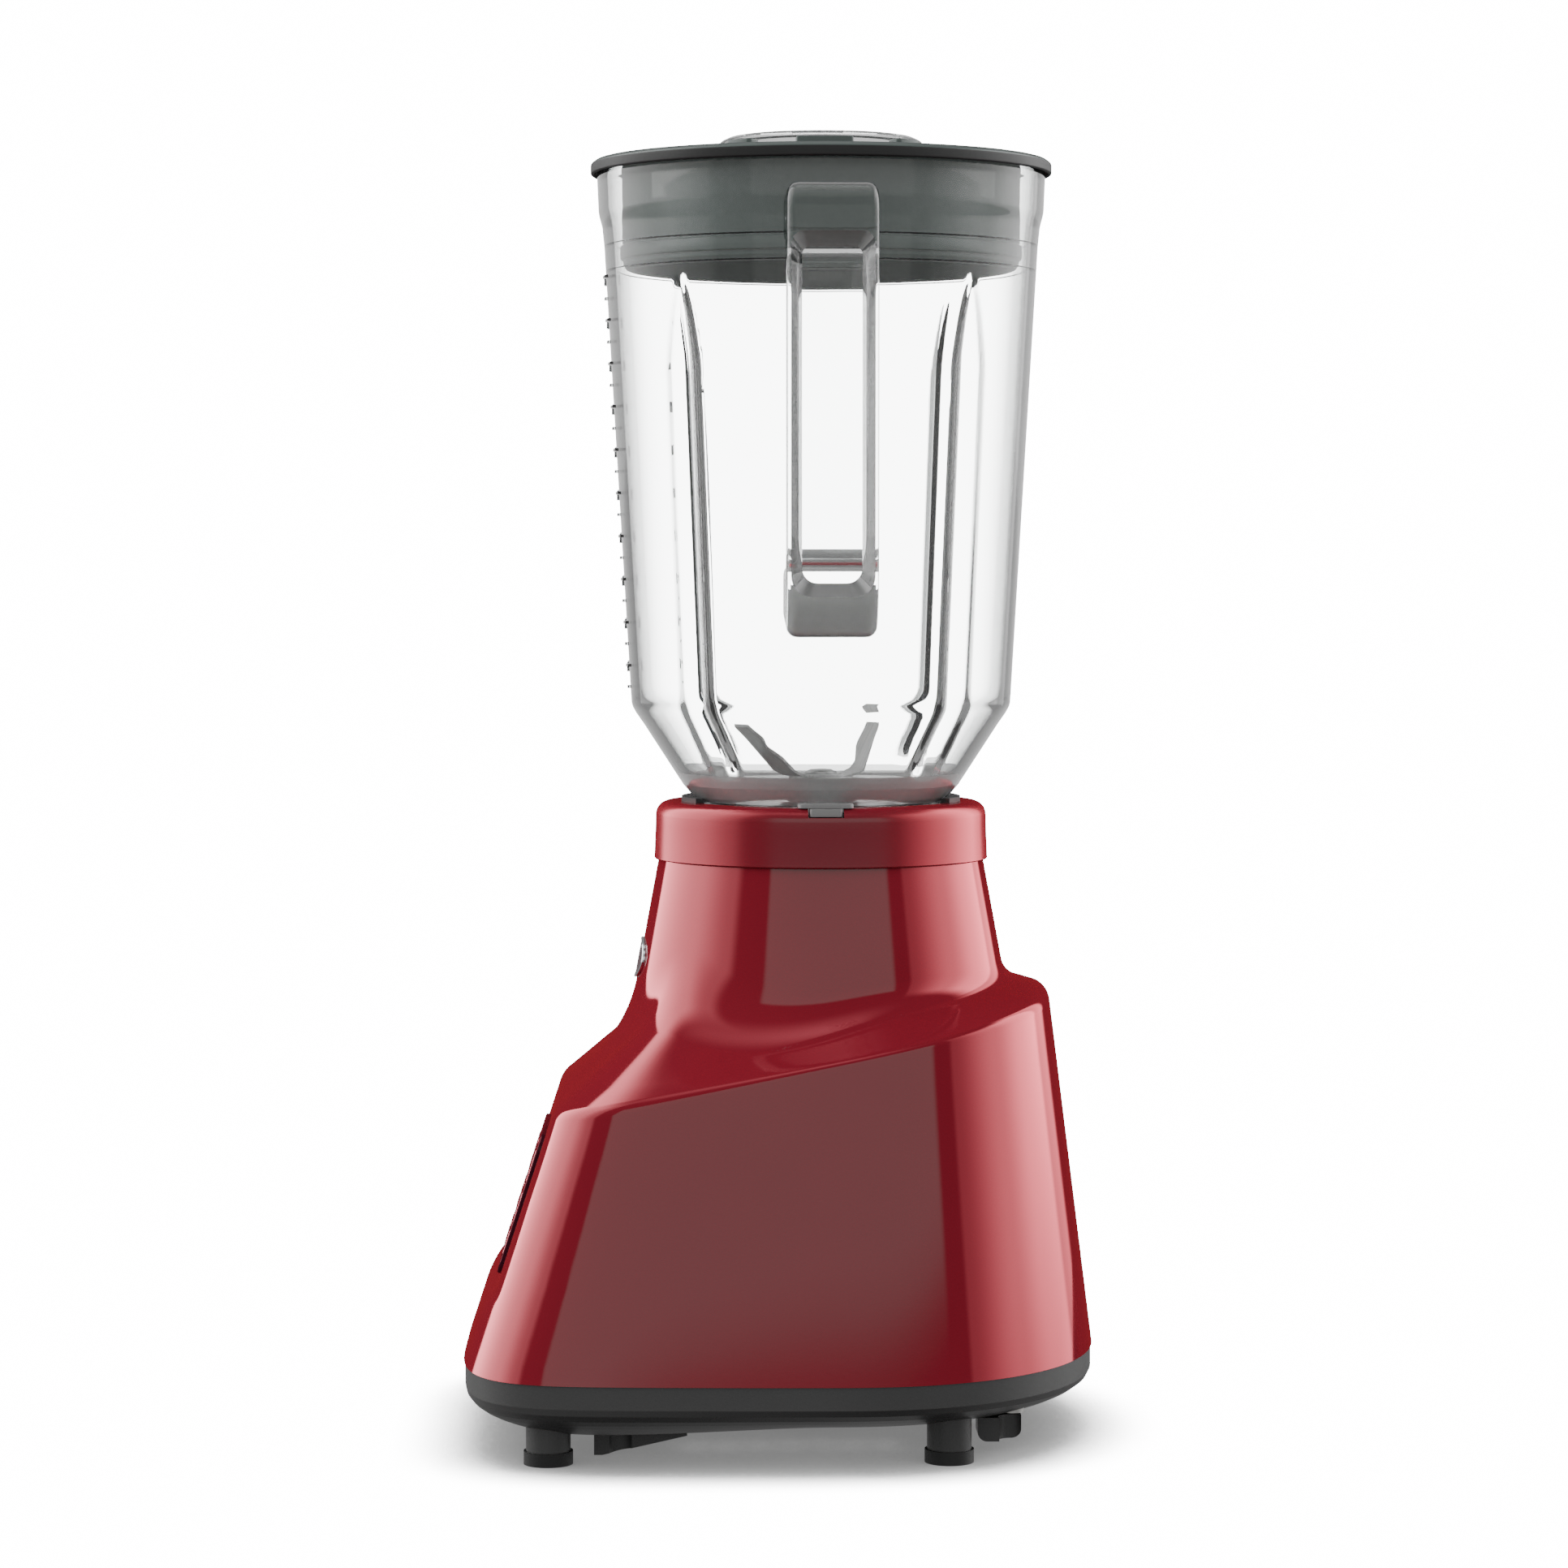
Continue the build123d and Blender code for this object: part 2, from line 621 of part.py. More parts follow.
def cooling_fan():
    body = ring(8.0, SHAFT_R, 15.0, 27.0) + ring(34.0, 7.5, 24.5, 26.5)
    for i in range(9):
        vane = Pos(0, DRIVE_Y, 0) * Rot(0, 0, 40 * i) * Pos(21, 0, 20.5) * Rot(0, 0, 18) * Box(24, 1.8, 9.5)
        body += vane
    return body & ring(34.0, 3.0, 10, 30)


def lobed(r_max, r_min, z0, z1):
    """Six-lobed coupling section."""
    pts = []
    for i in range(24):
        a = math.radians(15 * i)
        r = r_max if i % 4 in (0, 1) else r_min
        pts.append((r * math.cos(a), r * math.sin(a)))
    face = make_face(Polyline(*pts, close=True))
    return at_axis(Pos(0, 0, z0) * extrude(face, z1 - z0, dir=(0, 0, 1)))


def drive_coupling():
    body = ring(14.0, 0, 164.3, 166.8) + lobed(9.4, 7.2, 166.0, 177.2)
    body -= ring(SHAFT_R, 0, 160.0, 174.0)
    return body


# ---------------------------------------------------------------- blade set
def driven_coupling():
    body = ring(13.4, 0, 168.4, 181.4)
    body -= lobed(9.9, 7.7, 167, 178.0)
    body -= ring(SHAFT_R, 0, 177.0, 182.0)
    for i in range(6):
        body -= sector(15, 12.6, 168, 176, 60 * i + 30, 7)
    return body


def blade_shaft():
    return ring(SHAFT_R, 0, 178.2, 199.2) + ring(3.0, 0, 199.0, 207.0)


def blade_holder():
    body = turned([(8.0, 182.3), (33.4, 182.3), (33.4, 184.6), (27.6, 184.6), (27.2, 196.0),
                   (24.0, 197.6), (12.5, 198.4), (8.0, 198.4)])
    for i in range(6):
        body -= sector(24, 12, 180, 194.0, 60 * i, 22)
    return body


def blade_bush():
    return ring(8.0, SHAFT_R + RUN_CLEAR, 182.6, 195.6)


def shaft_seal():
    return ring(7.9, SHAFT_R + RUN_CLEAR, 195.8, 198.2)


def jar_gasket():
    return ring(34.2, 28.2, 184.6, 186.8)


def jar_nut():
    profile = [(26.5, 179.5), (37.6, 179.5), (38.6, 180.6), (38.6, 193.5), (35.4, 193.5),
               (35.4, 186.0), (34.4, 184.8), (34.4, 182.2), (26.5, 182.2)]
    body = turned(profile)
    body += around(18, 10, lambda a: sector(39.6, 38.2, 181.0, 192.5, a, 2.2))
    body += slab(37.0, 48.6, DRIVE_Y - 8.4, DRIVE_Y + 8.4, 190.6, 193.5) - ring(38.0, 0, 185, 200)
    return body


def blade_arm(points, width_root, width_tip, notch):
    """Bent blade arm, thickness 1.5, from a side profile in the radial plane."""
    t = 1.5
    up = [(x, z + t) for x, z in reversed(points)]
    side = make_face(Plane.XZ * Polyline(*(points + up), close=True))
    body = extrude(side, 30, both=True)
    reach = points[-1][0]
    plan = [(0, -width_root), (0, width_root), (reach * 0.55, width_root * 1.05)]
    if notch:
        plan += [(reach * 0.72, width_tip * 0.55), (reach * 0.8, width_root * 0.95)]
    plan += [(reach + 1, width_tip), (reach - 2.5, 0), (reach + 1, -width_tip * 0.6),
             (reach * 0.5, -width_root)]
    top = make_face(Polyline(*plan, close=True))
    cutter = Pos(0, 0, 150) * extrude(top, 100, dir=(0, 0, 1))
    return body & cutter


def upper_blade():
    path_a = [(0, 201.0), (7.5, 201.0), (12.0, 204.0), (23.6, 219.0)]
    path_b = [(0, 201.0), (7.5, 201.0), (11.0, 204.0), (18.7, 219.0)]
    body = Rot(0, 0, -90) * blade_arm(path_a, 6.0, 4.5, True)
    body += Rot(0, 0, 90) * blade_arm(path_b, 6.0, 4.5, True)
    body += Pos(0, 0, 201.0) * Cylinder(7.0, 1.5, align=(Align.CENTER, Align.CENTER, Align.MIN))
    body -= Pos(0, 0, 190) * Cylinder(3.0, 30, align=(Align.CENTER, Align.CENTER, Align.MIN))
    return at_axis(body)


def lower_blade():
    path_a = [(0, 199.3), (9.0, 199.3), (14, 200.8), (27.0, 202.6)]
    path_b = [(0, 199.3), (9.0, 199.3), (14, 201.4), (26.0, 206.0)]
    body = blade_arm(path_a, 5.5, 3.6, True)
    body += Rot(0, 0, 180) * blade_arm(path_b, 5.5, 3.6, True)
    body += Pos(0, 0, 199.3) * Cylinder(7.0, 1.5, align=(Align.CENTER, Align.CENTER, Align.MIN))
    body -= Pos(0, 0, 190) * Cylinder(3.0, 30, align=(Align.CENTER, Align.CENTER, Align.MIN))
    return at_axis(body)


def blade_washers():
    return ring(6.5, 3.0, 202.5, 203.3)


def blade_nut():
    face = RegularPolygon(4.6, 6, major_radius=False)
    body = Pos(0, 0, 203.3) * extrude(face, 4.2, dir=(0, 0, 1))
    body += Pos(0, 0, 207.0) * Sphere(3.6, arc_size1=0)
    body = at_axis(body)
    return body - ring(3.0, 0, 200.0, 207.05)


# ---------------------------------------------------------------- jar
def jar_body():
    w = JAR_WALL
    outer = [(34.6, 186.8), (34.6, 194.4), (38.4, 195.2), (39.7, 196.4), (43.0, 200.2),
             (JAR_WAIST_R, JAR_WAIST_Z), (67.1, 366.4), (67.6, 370.9), (68.9, 377.9),
             (JAR_MOUTH_R, JAR_TOP - 0.6), (JAR_MOUTH_R - 0.6, JAR_TOP)]
    inner = [(66.6, JAR_TOP), (66.1, JAR_TOP - 0.6), (65.7, 379.0), (64.3, 371.0), (63.9, 366.0),
             (JAR_WAIST_R - w, JAR_WAIST_Z + 1.6), (41.5, 204.6), (38.0, 201.0), (28.4, 199.2),
             (28.4, 186.8)]
    body = turned(outer + inner)
    cavity = turned([(0, 203.5), (38.4, 203.5), (42.3, 205.2), (JAR_WAIST_R - w + 0.4, JAR_WAIST_Z + 1.6),
                     (64.2, 366.0), (64.2, 380), (0, 380)])
    lean = math.degrees(math.atan((67.1 - JAR_WAIST_R) / (366.4 - JAR_WAIST_Z)))
    for k in range(4):
        section = make_face(Polyline((-4.4, 0), (4.4, 0), (0, -5.2), close=True))
        rib = extrude(section, 152, dir=(0, 0, 1))
        tip = make_face(Plane.YZ * Polyline((-6.0, 140), (0.5, 152), (2, 160), (-8, 160), close=True))
        rib -= extrude(tip, 12, both=True)
        rib = Pos(0, 0, 203) * Rot(-lean, 0, 0) * rib
        seat = (JAR_WAIST_R - w) - (JAR_WAIST_Z - 203) * math.tan(math.radians(lean)) + 0.6
        rib = Rot(0, 0, 45 + 90 * k - 90) * Pos(0, seat, 0) * rib
        body += at_axis(rib) & cavity
    return body


def jar_handle():
    half = HANDLE_W / 2
    outer = make_face(Plane.XZ * Polyline(
        (60, HANDLE_TOP - 22), (60, HANDLE_TOP), (HANDLE_X - 8, HANDLE_TOP), (HANDLE_X - 2, HANDLE_TOP - 2.5),
        (HANDLE_X, HANDLE_TOP - 9), (HANDLE_X, HANDLE_BOTTOM + 18), (HANDLE_X - 3, HANDLE_BOTTOM + 7),
        (HANDLE_X - 11, HANDLE_BOTTOM), (54, HANDLE_BOTTOM + 4), (54, HANDLE_BOTTOM + 22),
        (84, HANDLE_BOTTOM + 19), (91, HANDLE_BOTTOM + 23), (94, HANDLE_BOTTOM + 31),
        (94, HANDLE_TOP - 32), (91, HANDLE_TOP - 24), (84, HANDLE_TOP - 18), close=True))
    loop = extrude(outer, half, both=True)
    groove = make_face(Plane.XZ * Polyline(
        (HANDLE_X + 1, HANDLE_TOP - 16), (101, HANDLE_TOP - 22), (101, HANDLE_BOTTOM + 26),
        (HANDLE_X + 1, HANDLE_BOTTOM + 16), close=True))
    loop -= extrude(groove, half - 4.4, both=True)
    loop = Pos(0, DRIVE_Y, 0) * loop
    cavity = turned([(0, 240), (JAR_WAIST_R - JAR_WALL + 1.4, 240), (64.6, 366.0), (66.4, 385), (0, 385)])
    return loop - cavity


def graduations():
    def wall(z):
        return JAR_WAIST_R + (z - JAR_WAIST_Z) * (67.1 - JAR_WAIST_R) / (366.4 - JAR_WAIST_Z)
    z0, z1 = 229.4, 366.0
    def band(z_lo, z_hi, width, proud):
        body = turned([(wall(z_lo) - 0.8, z_lo), (wall(z_lo) + proud, z_lo),
                       (wall(z_hi) + proud, z_hi), (wall(z_hi) - 0.8, z_hi)])
        return body & slab(-width / 2, width / 2, DRIVE_Y - 90, DRIVE_Y, z_lo - 1, z_hi + 1)
    body = band(z0, z1, 15, 1.0)
    for i in range(GRAD_COUNT):
        z = GRAD_TOP - GRAD_PITCH * i
        body += band(z, z + 0.9, 11, 1.8)
        body += band(z - GRAD_PITCH / 2, z - GRAD_PITCH / 2 + 0.7, 7, 1.6)
        body += band(z + 1.8, z + 4.2, 5, 1.5)
    return body


def jar():
    body = jar_body() + jar_handle() + graduations()
    for z in (358.8, 366.4):
        r = 66.7 if z < 360 else 67.1
        body += turned([(r - 1.0, z - 0.6), (r + 0.35, z - 0.2), (r + 0.35, z + 0.2), (r - 1.0, z + 0.6)])
    return body


# ---------------------------------------------------------------- lid and cap
def lid():
    s = LID_SKIRT_R
    profile = [(FILL_R, 391.0), (FILL_R, 395.6), (31.9, 395.6), (31.9, 397.0), (36.0, 396.9), (52, 395.4),
               (64, 394.2), (69.4, 393.2), (70.7, 392.4), (LID_R, 391.5), (70.6, LID_Z + 0.2),
               (69.8, LID_Z), (s + 0.3, LID_Z), (s, LID_Z - 1), (s - 0.6, LID_SKIRT_Z + 0.6),
               (s - 1.2, LID_SKIRT_Z), (s - 3.0, LID_SKIRT_Z), (s - 2.6, LID_Z - 3), (s - 6, 391.0),
               (35.5, 393.2), (32.6, 393.0), (32.2, 381.0), (FILL_R, 381.0)]
    body = turned(profile)
    for i in range(8):
        body += sector(38.0, 32.3, 394.5, 397.9, 45 * i, 15.5)
        body -= sector(38.6, 33.4, 394.9, 399.0, 45 * i + 22.5, 4.0)
    return body


def lid_seal():
    s = LID_SKIRT_R - 0.3
    return turned([(s, 377.0), (63.0, 377.0), (63.0, 372.2), (63.5, 371.2), (63.0, 370.2), (63.0, 366.4),
                   (63.4, 365.4), (63.0, 364.4), (63.0, 362.5), (s - 0.1, 362.5)]) - ring(61.75, 0, 350, 390)


def measuring_cap():
    body = turned([(0, 398.2), (0, TOTAL_HEIGHT), (28.5, TOTAL_HEIGHT), (30.6, 399.4), (CAP_R, 398.4),
                   (CAP_R, 396.6), (30.9, 396.0), (28.9, 396.0), (28.2, 372.2), (27.8, 371.6), (26.2, 371.6),
                   (26.2, 396.0), (25.0, 397.6)])
    return body


def main():
    save(base_housing(), "base_housing")
    save(collar_ring(), "collar_ring")
    save(seat_cushion(), "seat_cushion")
    save(seat_deck(), "seat_deck")
    save(deck_screws(), "deck_screws")
    save(bottom_pan(), "bottom_pan")
    save(rubber_feet(), "rubber_feet")
    save(pan_screws(), "pan_screws")
    save(cord_gland(), "cord_gland")
    save(badge(), "badge")
    save(control_panel(), "control_panel")
    for i, (u, v, wide, tall) in enumerate(buttons_layout(), start=1):
        save(push_button(u, v, wide, tall), f"push_button_{i}")
    save(button_springs(), "button_springs")
    save(switch_board(), "switch_board")
    save(stator_stack(), "stator_stack")
    save(field_coils(), "field_coils")
    save(upper_bracket(), "upper_bracket")
    save(lower_bracket(), "lower_bracket")
    save(bearing(115.0), "upper_bearing")
    save(bearing(28.0), "lower_bearing")
    save(brush_holders(), "brush_holders")
    save(carbon_brushes(), "carbon_brushes")
    save(brush_springs(), "brush_springs")
    save(motor_mounts(), "motor_mounts")
    save(motor_screws(), "motor_screws")
    save(motor_shaft(), "motor_shaft")
    save(armature_core(), "armature_core")
    save(armature_windings(), "armature_windings")
    save(commutator(), "commutator")
    save(cooling_fan(), "cooling_fan")
    save(drive_coupling(), "drive_coupling")
    save(driven_coupling(), "driven_coupling")
    save(blade_shaft(), "blade_shaft")
    save(blade_holder(), "blade_holder")
    save(blade_bush(), "blade_bush")
    save(shaft_seal(), "shaft_seal")
    save(jar_gasket(), "jar_gasket")
    save(jar_nut(), "jar_nut")
    save(upper_blade(), "upper_blade")
    save(lower_blade(), "lower_blade")
    save(blade_washers(), "blade_washer")
    save(blade_nut(), "blade_nut")
    save(jar(), "jar")
    save(lid(), "lid")
    save(lid_seal(), "lid_seal")
    save(measuring_cap(), "measuring_cap")


main()
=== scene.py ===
import json
import math

import bmesh
import bpy
from mathutils import Matrix, Vector

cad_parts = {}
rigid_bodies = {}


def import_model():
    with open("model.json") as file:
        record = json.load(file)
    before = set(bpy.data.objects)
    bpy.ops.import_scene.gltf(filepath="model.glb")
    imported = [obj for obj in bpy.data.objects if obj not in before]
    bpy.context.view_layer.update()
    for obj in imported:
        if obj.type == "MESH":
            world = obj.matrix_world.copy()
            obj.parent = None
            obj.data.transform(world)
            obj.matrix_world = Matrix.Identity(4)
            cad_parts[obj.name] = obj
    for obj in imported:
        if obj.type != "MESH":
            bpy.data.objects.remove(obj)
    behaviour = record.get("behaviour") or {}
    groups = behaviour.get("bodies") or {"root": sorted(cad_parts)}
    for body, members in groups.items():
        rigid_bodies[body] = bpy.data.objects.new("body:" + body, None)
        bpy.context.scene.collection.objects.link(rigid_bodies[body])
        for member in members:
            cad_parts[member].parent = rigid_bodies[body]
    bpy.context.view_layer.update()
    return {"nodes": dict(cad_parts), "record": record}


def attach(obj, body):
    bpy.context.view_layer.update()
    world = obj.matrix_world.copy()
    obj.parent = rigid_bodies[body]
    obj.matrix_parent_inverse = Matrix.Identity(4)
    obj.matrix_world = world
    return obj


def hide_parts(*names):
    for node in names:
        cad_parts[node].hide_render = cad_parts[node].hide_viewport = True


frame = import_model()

MM = 0.001
DRIVE_Y = 23.5                      # drive axis behind the centre of the feet, mm
AXIS = Vector((0, DRIVE_Y * MM, 0))


def on_axis(z):
    """Matrix that puts a local origin on the drive axis at a height in mm."""
    return Matrix.Translation(Vector((0, DRIVE_Y, z)) * MM)


def on_axis_turned(z, degrees):
    return on_axis(z) @ Matrix.Rotation(math.radians(degrees), 4, "Z")


# ------------------------------------------------------------------ camera
def make_camera():
    data = bpy.data.cameras.new("camera")
    data.sensor_width = 36.0
    data.lens = 102.56
    data.clip_start, data.clip_end = 0.05, 30.0
    cam = bpy.data.objects.new("camera", data)
    bpy.context.scene.collection.objects.link(cam)
    cam.location = (1.39027, -0.02141, 0.2695)
    cam.rotation_euler = (math.radians(90 - 2.86), 0, math.radians(90 - 1.378))
    bpy.context.scene.camera = cam


# ------------------------------------------------------------------ materials
NOISE_LO, NOISE_HI = 0.3, 0.7       # range that holds nearly all of a noise texture's values


def new_material(name):
    mat = bpy.data.materials.new(name)
    mat.use_nodes = True
    nodes = mat.node_tree.nodes
    nodes.clear()
    out = nodes.new("ShaderNodeOutputMaterial")
    bsdf = nodes.new("ShaderNodeBsdfPrincipled")
    mat.node_tree.links.new(bsdf.outputs["BSDF"], out.inputs["Surface"])
    return mat, bsdf


def maths(tree, operation, first, second):
    """Math node; each operand is a socket or a number."""
    node = tree.nodes.new("ShaderNodeMath")
    node.operation = operation
    for socket, value in zip(node.inputs, (first, second)):
        if isinstance(value, (int, float)):
            socket.default_value = value
        else:
            tree.links.new(value, socket)
    return node.outputs[0]


def noise(tree, scale, detail, rough=0.55, stretch=None):
    coord = tree.nodes.new("ShaderNodeTexCoord")
    tex = tree.nodes.new("ShaderNodeTexNoise")
    tex.inputs["Scale"].default_value = scale
    tex.inputs["Detail"].default_value = detail
    tex.inputs["Roughness"].default_value = rough
    if stretch:
        mapping = tree.nodes.new("ShaderNodeMapping")
        mapping.inputs["Scale"].default_value = stretch
        tree.links.new(coord.outputs["Object"], mapping.inputs["Vector"])
        tree.links.new(mapping.outputs["Vector"], tex.inputs["Vector"])
    else:
        tree.links.new(coord.outputs["Object"], tex.inputs["Vector"])
    return tex


def spread(tree, noise_value, lo, hi):
    """Number that follows a noise between two ends."""
    node = tree.nodes.new("ShaderNodeMapRange")
    node.inputs["From Min"].default_value = NOISE_LO
    node.inputs["From Max"].default_value = NOISE_HI
    node.inputs["To Min"].default_value = lo
    node.inputs["To Max"].default_value = hi
    tree.links.new(noise_value, node.inputs["Value"])
    return node.outputs["Result"]


def tint(tree, noise_value, dark, light):
    """Colour that follows a noise between two tones."""
    ramp = tree.nodes.new("ShaderNodeValToRGB")
    ramp.color_ramp.elements[0].position = NOISE_LO
    ramp.color_ramp.elements[1].position = NOISE_HI
    ramp.color_ramp.elements[0].color = (*dark, 1)
    ramp.color_ramp.elements[1].color = (*light, 1)
    tree.links.new(noise_value, ramp.inputs["Fac"])
    return ramp.outputs["Color"]


def bump(tree, source, strength, distance):
    node = tree.nodes.new("ShaderNodeBump")
    node.inputs["Strength"].default_value = strength
    node.inputs["Distance"].default_value = distance
    tree.links.new(source, node.inputs["Height"])
    return node.outputs["Normal"]


def plastic(name, dark, light, rough, grain, strength, depth=0.0002, ior=1.5):
    mat, bsdf = new_material(name)
    tree = mat.node_tree
    wide = noise(tree, 18, 2.0)
    fine = noise(tree, grain, 2.0)
    tree.links.new(tint(tree, wide.outputs["Fac"], dark, light), bsdf.inputs["Base Color"])
    tree.links.new(spread(tree, wide.outputs["Fac"], *rough), bsdf.inputs["Roughness"])
    tree.links.new(bump(tree, fine.outputs["Fac"], strength, depth), bsdf.inputs["Normal"])
    bsdf.inputs["IOR"].default_value = ior
    return mat


def metal(name, dark, light, rough=(0.18, 0.3), stretch=(1, 1, 60), grain=40, strength=0.05):
    mat, bsdf = new_material(name)
    tree = mat.node_tree
    brush = noise(tree, grain, 4.0, 0.6, stretch)
    tree.links.new(tint(tree, brush.outputs["Fac"], dark, light), bsdf.inputs["Base Color"])
    tree.links.new(spread(tree, brush.outputs["Fac"], *rough), bsdf.inputs["Roughness"])
    tree.links.new(bump(tree, brush.outputs["Fac"], strength, 0.0002), bsdf.inputs["Normal"])
    bsdf.inputs["Metallic"].default_value = 1.0
    return mat


def clear(name, rough=(0.01, 0.03), ior=1.3, tone=(0.990, 0.998, 0.995), edge=(0.12, 0.123, 0.122),
          haze=0.012):
    """Clear plastic that lets light through to the parts inside; its colour goes from tone face on to edge seen edge
    on, a painted shade of darker refractions.
    """
    mat, bsdf = new_material(name)
    tree = mat.node_tree
    wave = noise(tree, 60, 1.0)
    # painted shade: the facing value darkens the colour towards edge where the plastic is seen edge on
    edge_on_shade = tree.nodes.new("ShaderNodeLayerWeight")
    edge_on_shade.inputs["Blend"].default_value = 0.5
    ramp = tree.nodes.new("ShaderNodeValToRGB")
    ramp.color_ramp.elements[0].position = 0.44
    ramp.color_ramp.elements[1].position = 0.66
    ramp.color_ramp.elements[0].color = (*tone, 1)
    ramp.color_ramp.elements[1].color = (*edge, 1)
    tree.links.new(edge_on_shade.outputs["Facing"], ramp.inputs["Fac"])
    tree.links.new(ramp.outputs["Color"], bsdf.inputs["Base Color"])
    bsdf.inputs["Transmission Weight"].default_value = 1.0 - haze
    path = tree.nodes.new("ShaderNodeLightPath")
    outside = maths(tree, "LESS_THAN", path.outputs["Transmission Depth"], 0.5)
    mirrored = maths(tree, "MULTIPLY", path.outputs["Is Glossy Ray"], outside)
    shaded = maths(tree, "MAXIMUM", path.outputs["Is Shadow Ray"], path.outputs["Is Diffuse Ray"])
    passing = tree.nodes.new("ShaderNodeBsdfTransparent")
    passing.inputs["Color"].default_value = (0.93, 0.93, 0.93, 1)
    mix = tree.nodes.new("ShaderNodeMixShader")
    tree.links.new(maths(tree, "MAXIMUM", shaded, mirrored), mix.inputs["Fac"])
    tree.links.new(bsdf.outputs["BSDF"], mix.inputs[1])
    tree.links.new(passing.outputs["BSDF"], mix.inputs[2])
    out = next(n for n in tree.nodes if n.type == "OUTPUT_MATERIAL")
    tree.links.new(mix.outputs[0], out.inputs["Surface"])
    bsdf.inputs["IOR"].default_value = ior
    tree.links.new(spread(tree, wave.outputs["Fac"], *rough), bsdf.inputs["Roughness"])
    tree.links.new(bump(tree, wave.outputs["Fac"], 0.03, 0.0004), bsdf.inputs["Normal"])
    return mat


def make_materials():
    m = {}
    m["red"] = plastic("red_gloss", (0.262, 0.0165, 0.0300), (0.276, 0.0180, 0.0320), (0.045, 0.060),
                       500, 0.012, 0.00008)
    # collar: a darker copy of the body red, painted shade, with a rougher finish
    m["collar"] = plastic("red_collar_painted_shade", (0.235, 0.0150, 0.0280), (0.250, 0.0165, 0.0300), (0.20, 0.24),
                          500, 0.012, 0.00008)
    m["clear"] = clear("clear_jar")
    m["clear_cap"] = clear("clear_cap")
    # grey clear plastic: painted shade of clear walls seen edge on, used on the handle's groove walls and the
    # graduation marks
    m["clear_edge_shade"] = clear("clear_edge_shade", (0.02, 0.05), 1.25, (0.10, 0.103, 0.102), (0.05, 0.05, 0.05), 0.08)
    m["clear_shade"] = clear("clear_shade", (0.02, 0.05), 1.25, (0.0020, 0.0021, 0.0021), (0.001, 0.001, 0.001))
    # grey clear plastic: painted shade on the steep side of each flute
    m["clear_flute_shade"] = clear("clear_flute_shade", (0.02, 0.05), 1.25, (0.03, 0.031, 0.031), (0.02, 0.02, 0.02))
    # hazed grey clear plastic: painted shade on the handle's groove floor and top and on the handle's lower end
    m["clear_hazed_shade"] = clear("clear_hazed_shade", (0.10, 0.20), 1.3, (0.28, 0.285, 0.284), (0.18, 0.18, 0.18), 0.985)
    # grey hazed clear plastic: painted shade standing in for the grey refractions seen through the jar's base
    m["clear_base_shade"] = clear("clear_base_shade", (0.05, 0.12), 1.3, (0.50, 0.505, 0.505), (0.35, 0.35, 0.35), 0.75)
    m["lid"] = plastic("lid_grey", (0.064, 0.088, 0.080), (0.072, 0.097, 0.090), (0.32, 0.38), 1100, 0.002)
    m["nut"] = plastic("nut_grey", (0.20, 0.20, 0.20), (0.24, 0.24, 0.24), (0.3, 0.4), 900, 0.06)
    m["seal"] = plastic("seal_grey", (0.05, 0.055, 0.055), (0.06, 0.065, 0.065), (0.55, 0.65), 500, 0.1)
    m["black"] = plastic("black_rubber", (0.005, 0.005, 0.005), (0.010, 0.010, 0.010), (0.5, 0.65), 600, 0.15)
    m["deck"] = plastic("deck_black", (0.02, 0.02, 0.021), (0.03, 0.03, 0.031), (0.35, 0.5), 900, 0.12)
    m["pan"] = plastic("pan_grey", (0.046, 0.046, 0.046), (0.056, 0.056, 0.056), (0.34, 0.44), 900, 0.12)
    m["panel"] = plastic("panel_dark", (0.050, 0.009, 0.020), (0.060, 0.011, 0.024), (0.12, 0.18), 500, 0.02,
                         ior=1.18)
    m["field"] = plastic("badge_field", (0.090, 0.010, 0.020), (0.105, 0.012, 0.024), (0.12, 0.18), 500, 0.02,
                         ior=1.25)
    m["silver"] = metal("silver_trim", (0.62, 0.62, 0.63), (0.78, 0.78, 0.79), (0.12, 0.2), (1, 1, 1), 300)
    m["steel"] = metal("steel", (0.50, 0.50, 0.50), (0.68, 0.68, 0.68))
    m["blade"] = metal("blade_steel", (0.40, 0.40, 0.40), (0.56, 0.56, 0.56), (0.30, 0.42), (60, 1, 1), 30)
    m["plated"] = metal("plated_screw", (0.45, 0.44, 0.42), (0.6, 0.6, 0.58), (0.25, 0.4), (1, 1, 1), 200)
    m["lamination"] = metal("lamination", (0.16, 0.165, 0.175), (0.30, 0.31, 0.33), (0.35, 0.5), (1, 1, 300), 20)
    m["copper"] = metal("copper_wire", (0.45, 0.16, 0.07), (0.75, 0.34, 0.17), (0.2, 0.35), (1, 1, 120), 30, 0.2)
    m["bronze"] = metal("bronze", (0.42, 0.28, 0.12), (0.55, 0.4, 0.2), (0.3, 0.45), (1, 1, 1), 400)
    m["cast"] = metal("cast_alloy", (0.42, 0.43, 0.44), (0.55, 0.56, 0.57), (0.4, 0.55), (1, 1, 1), 500, 0.2)
    m["carbon"] = plastic("carbon", (0.012, 0.012, 0.012), (0.03, 0.03, 0.03), (0.5, 0.7), 800, 0.2)
    m["board"] = plastic("board_green", (0.01, 0.06, 0.025), (0.015, 0.085, 0.035), (0.3, 0.4), 300, 0.05)
    return m


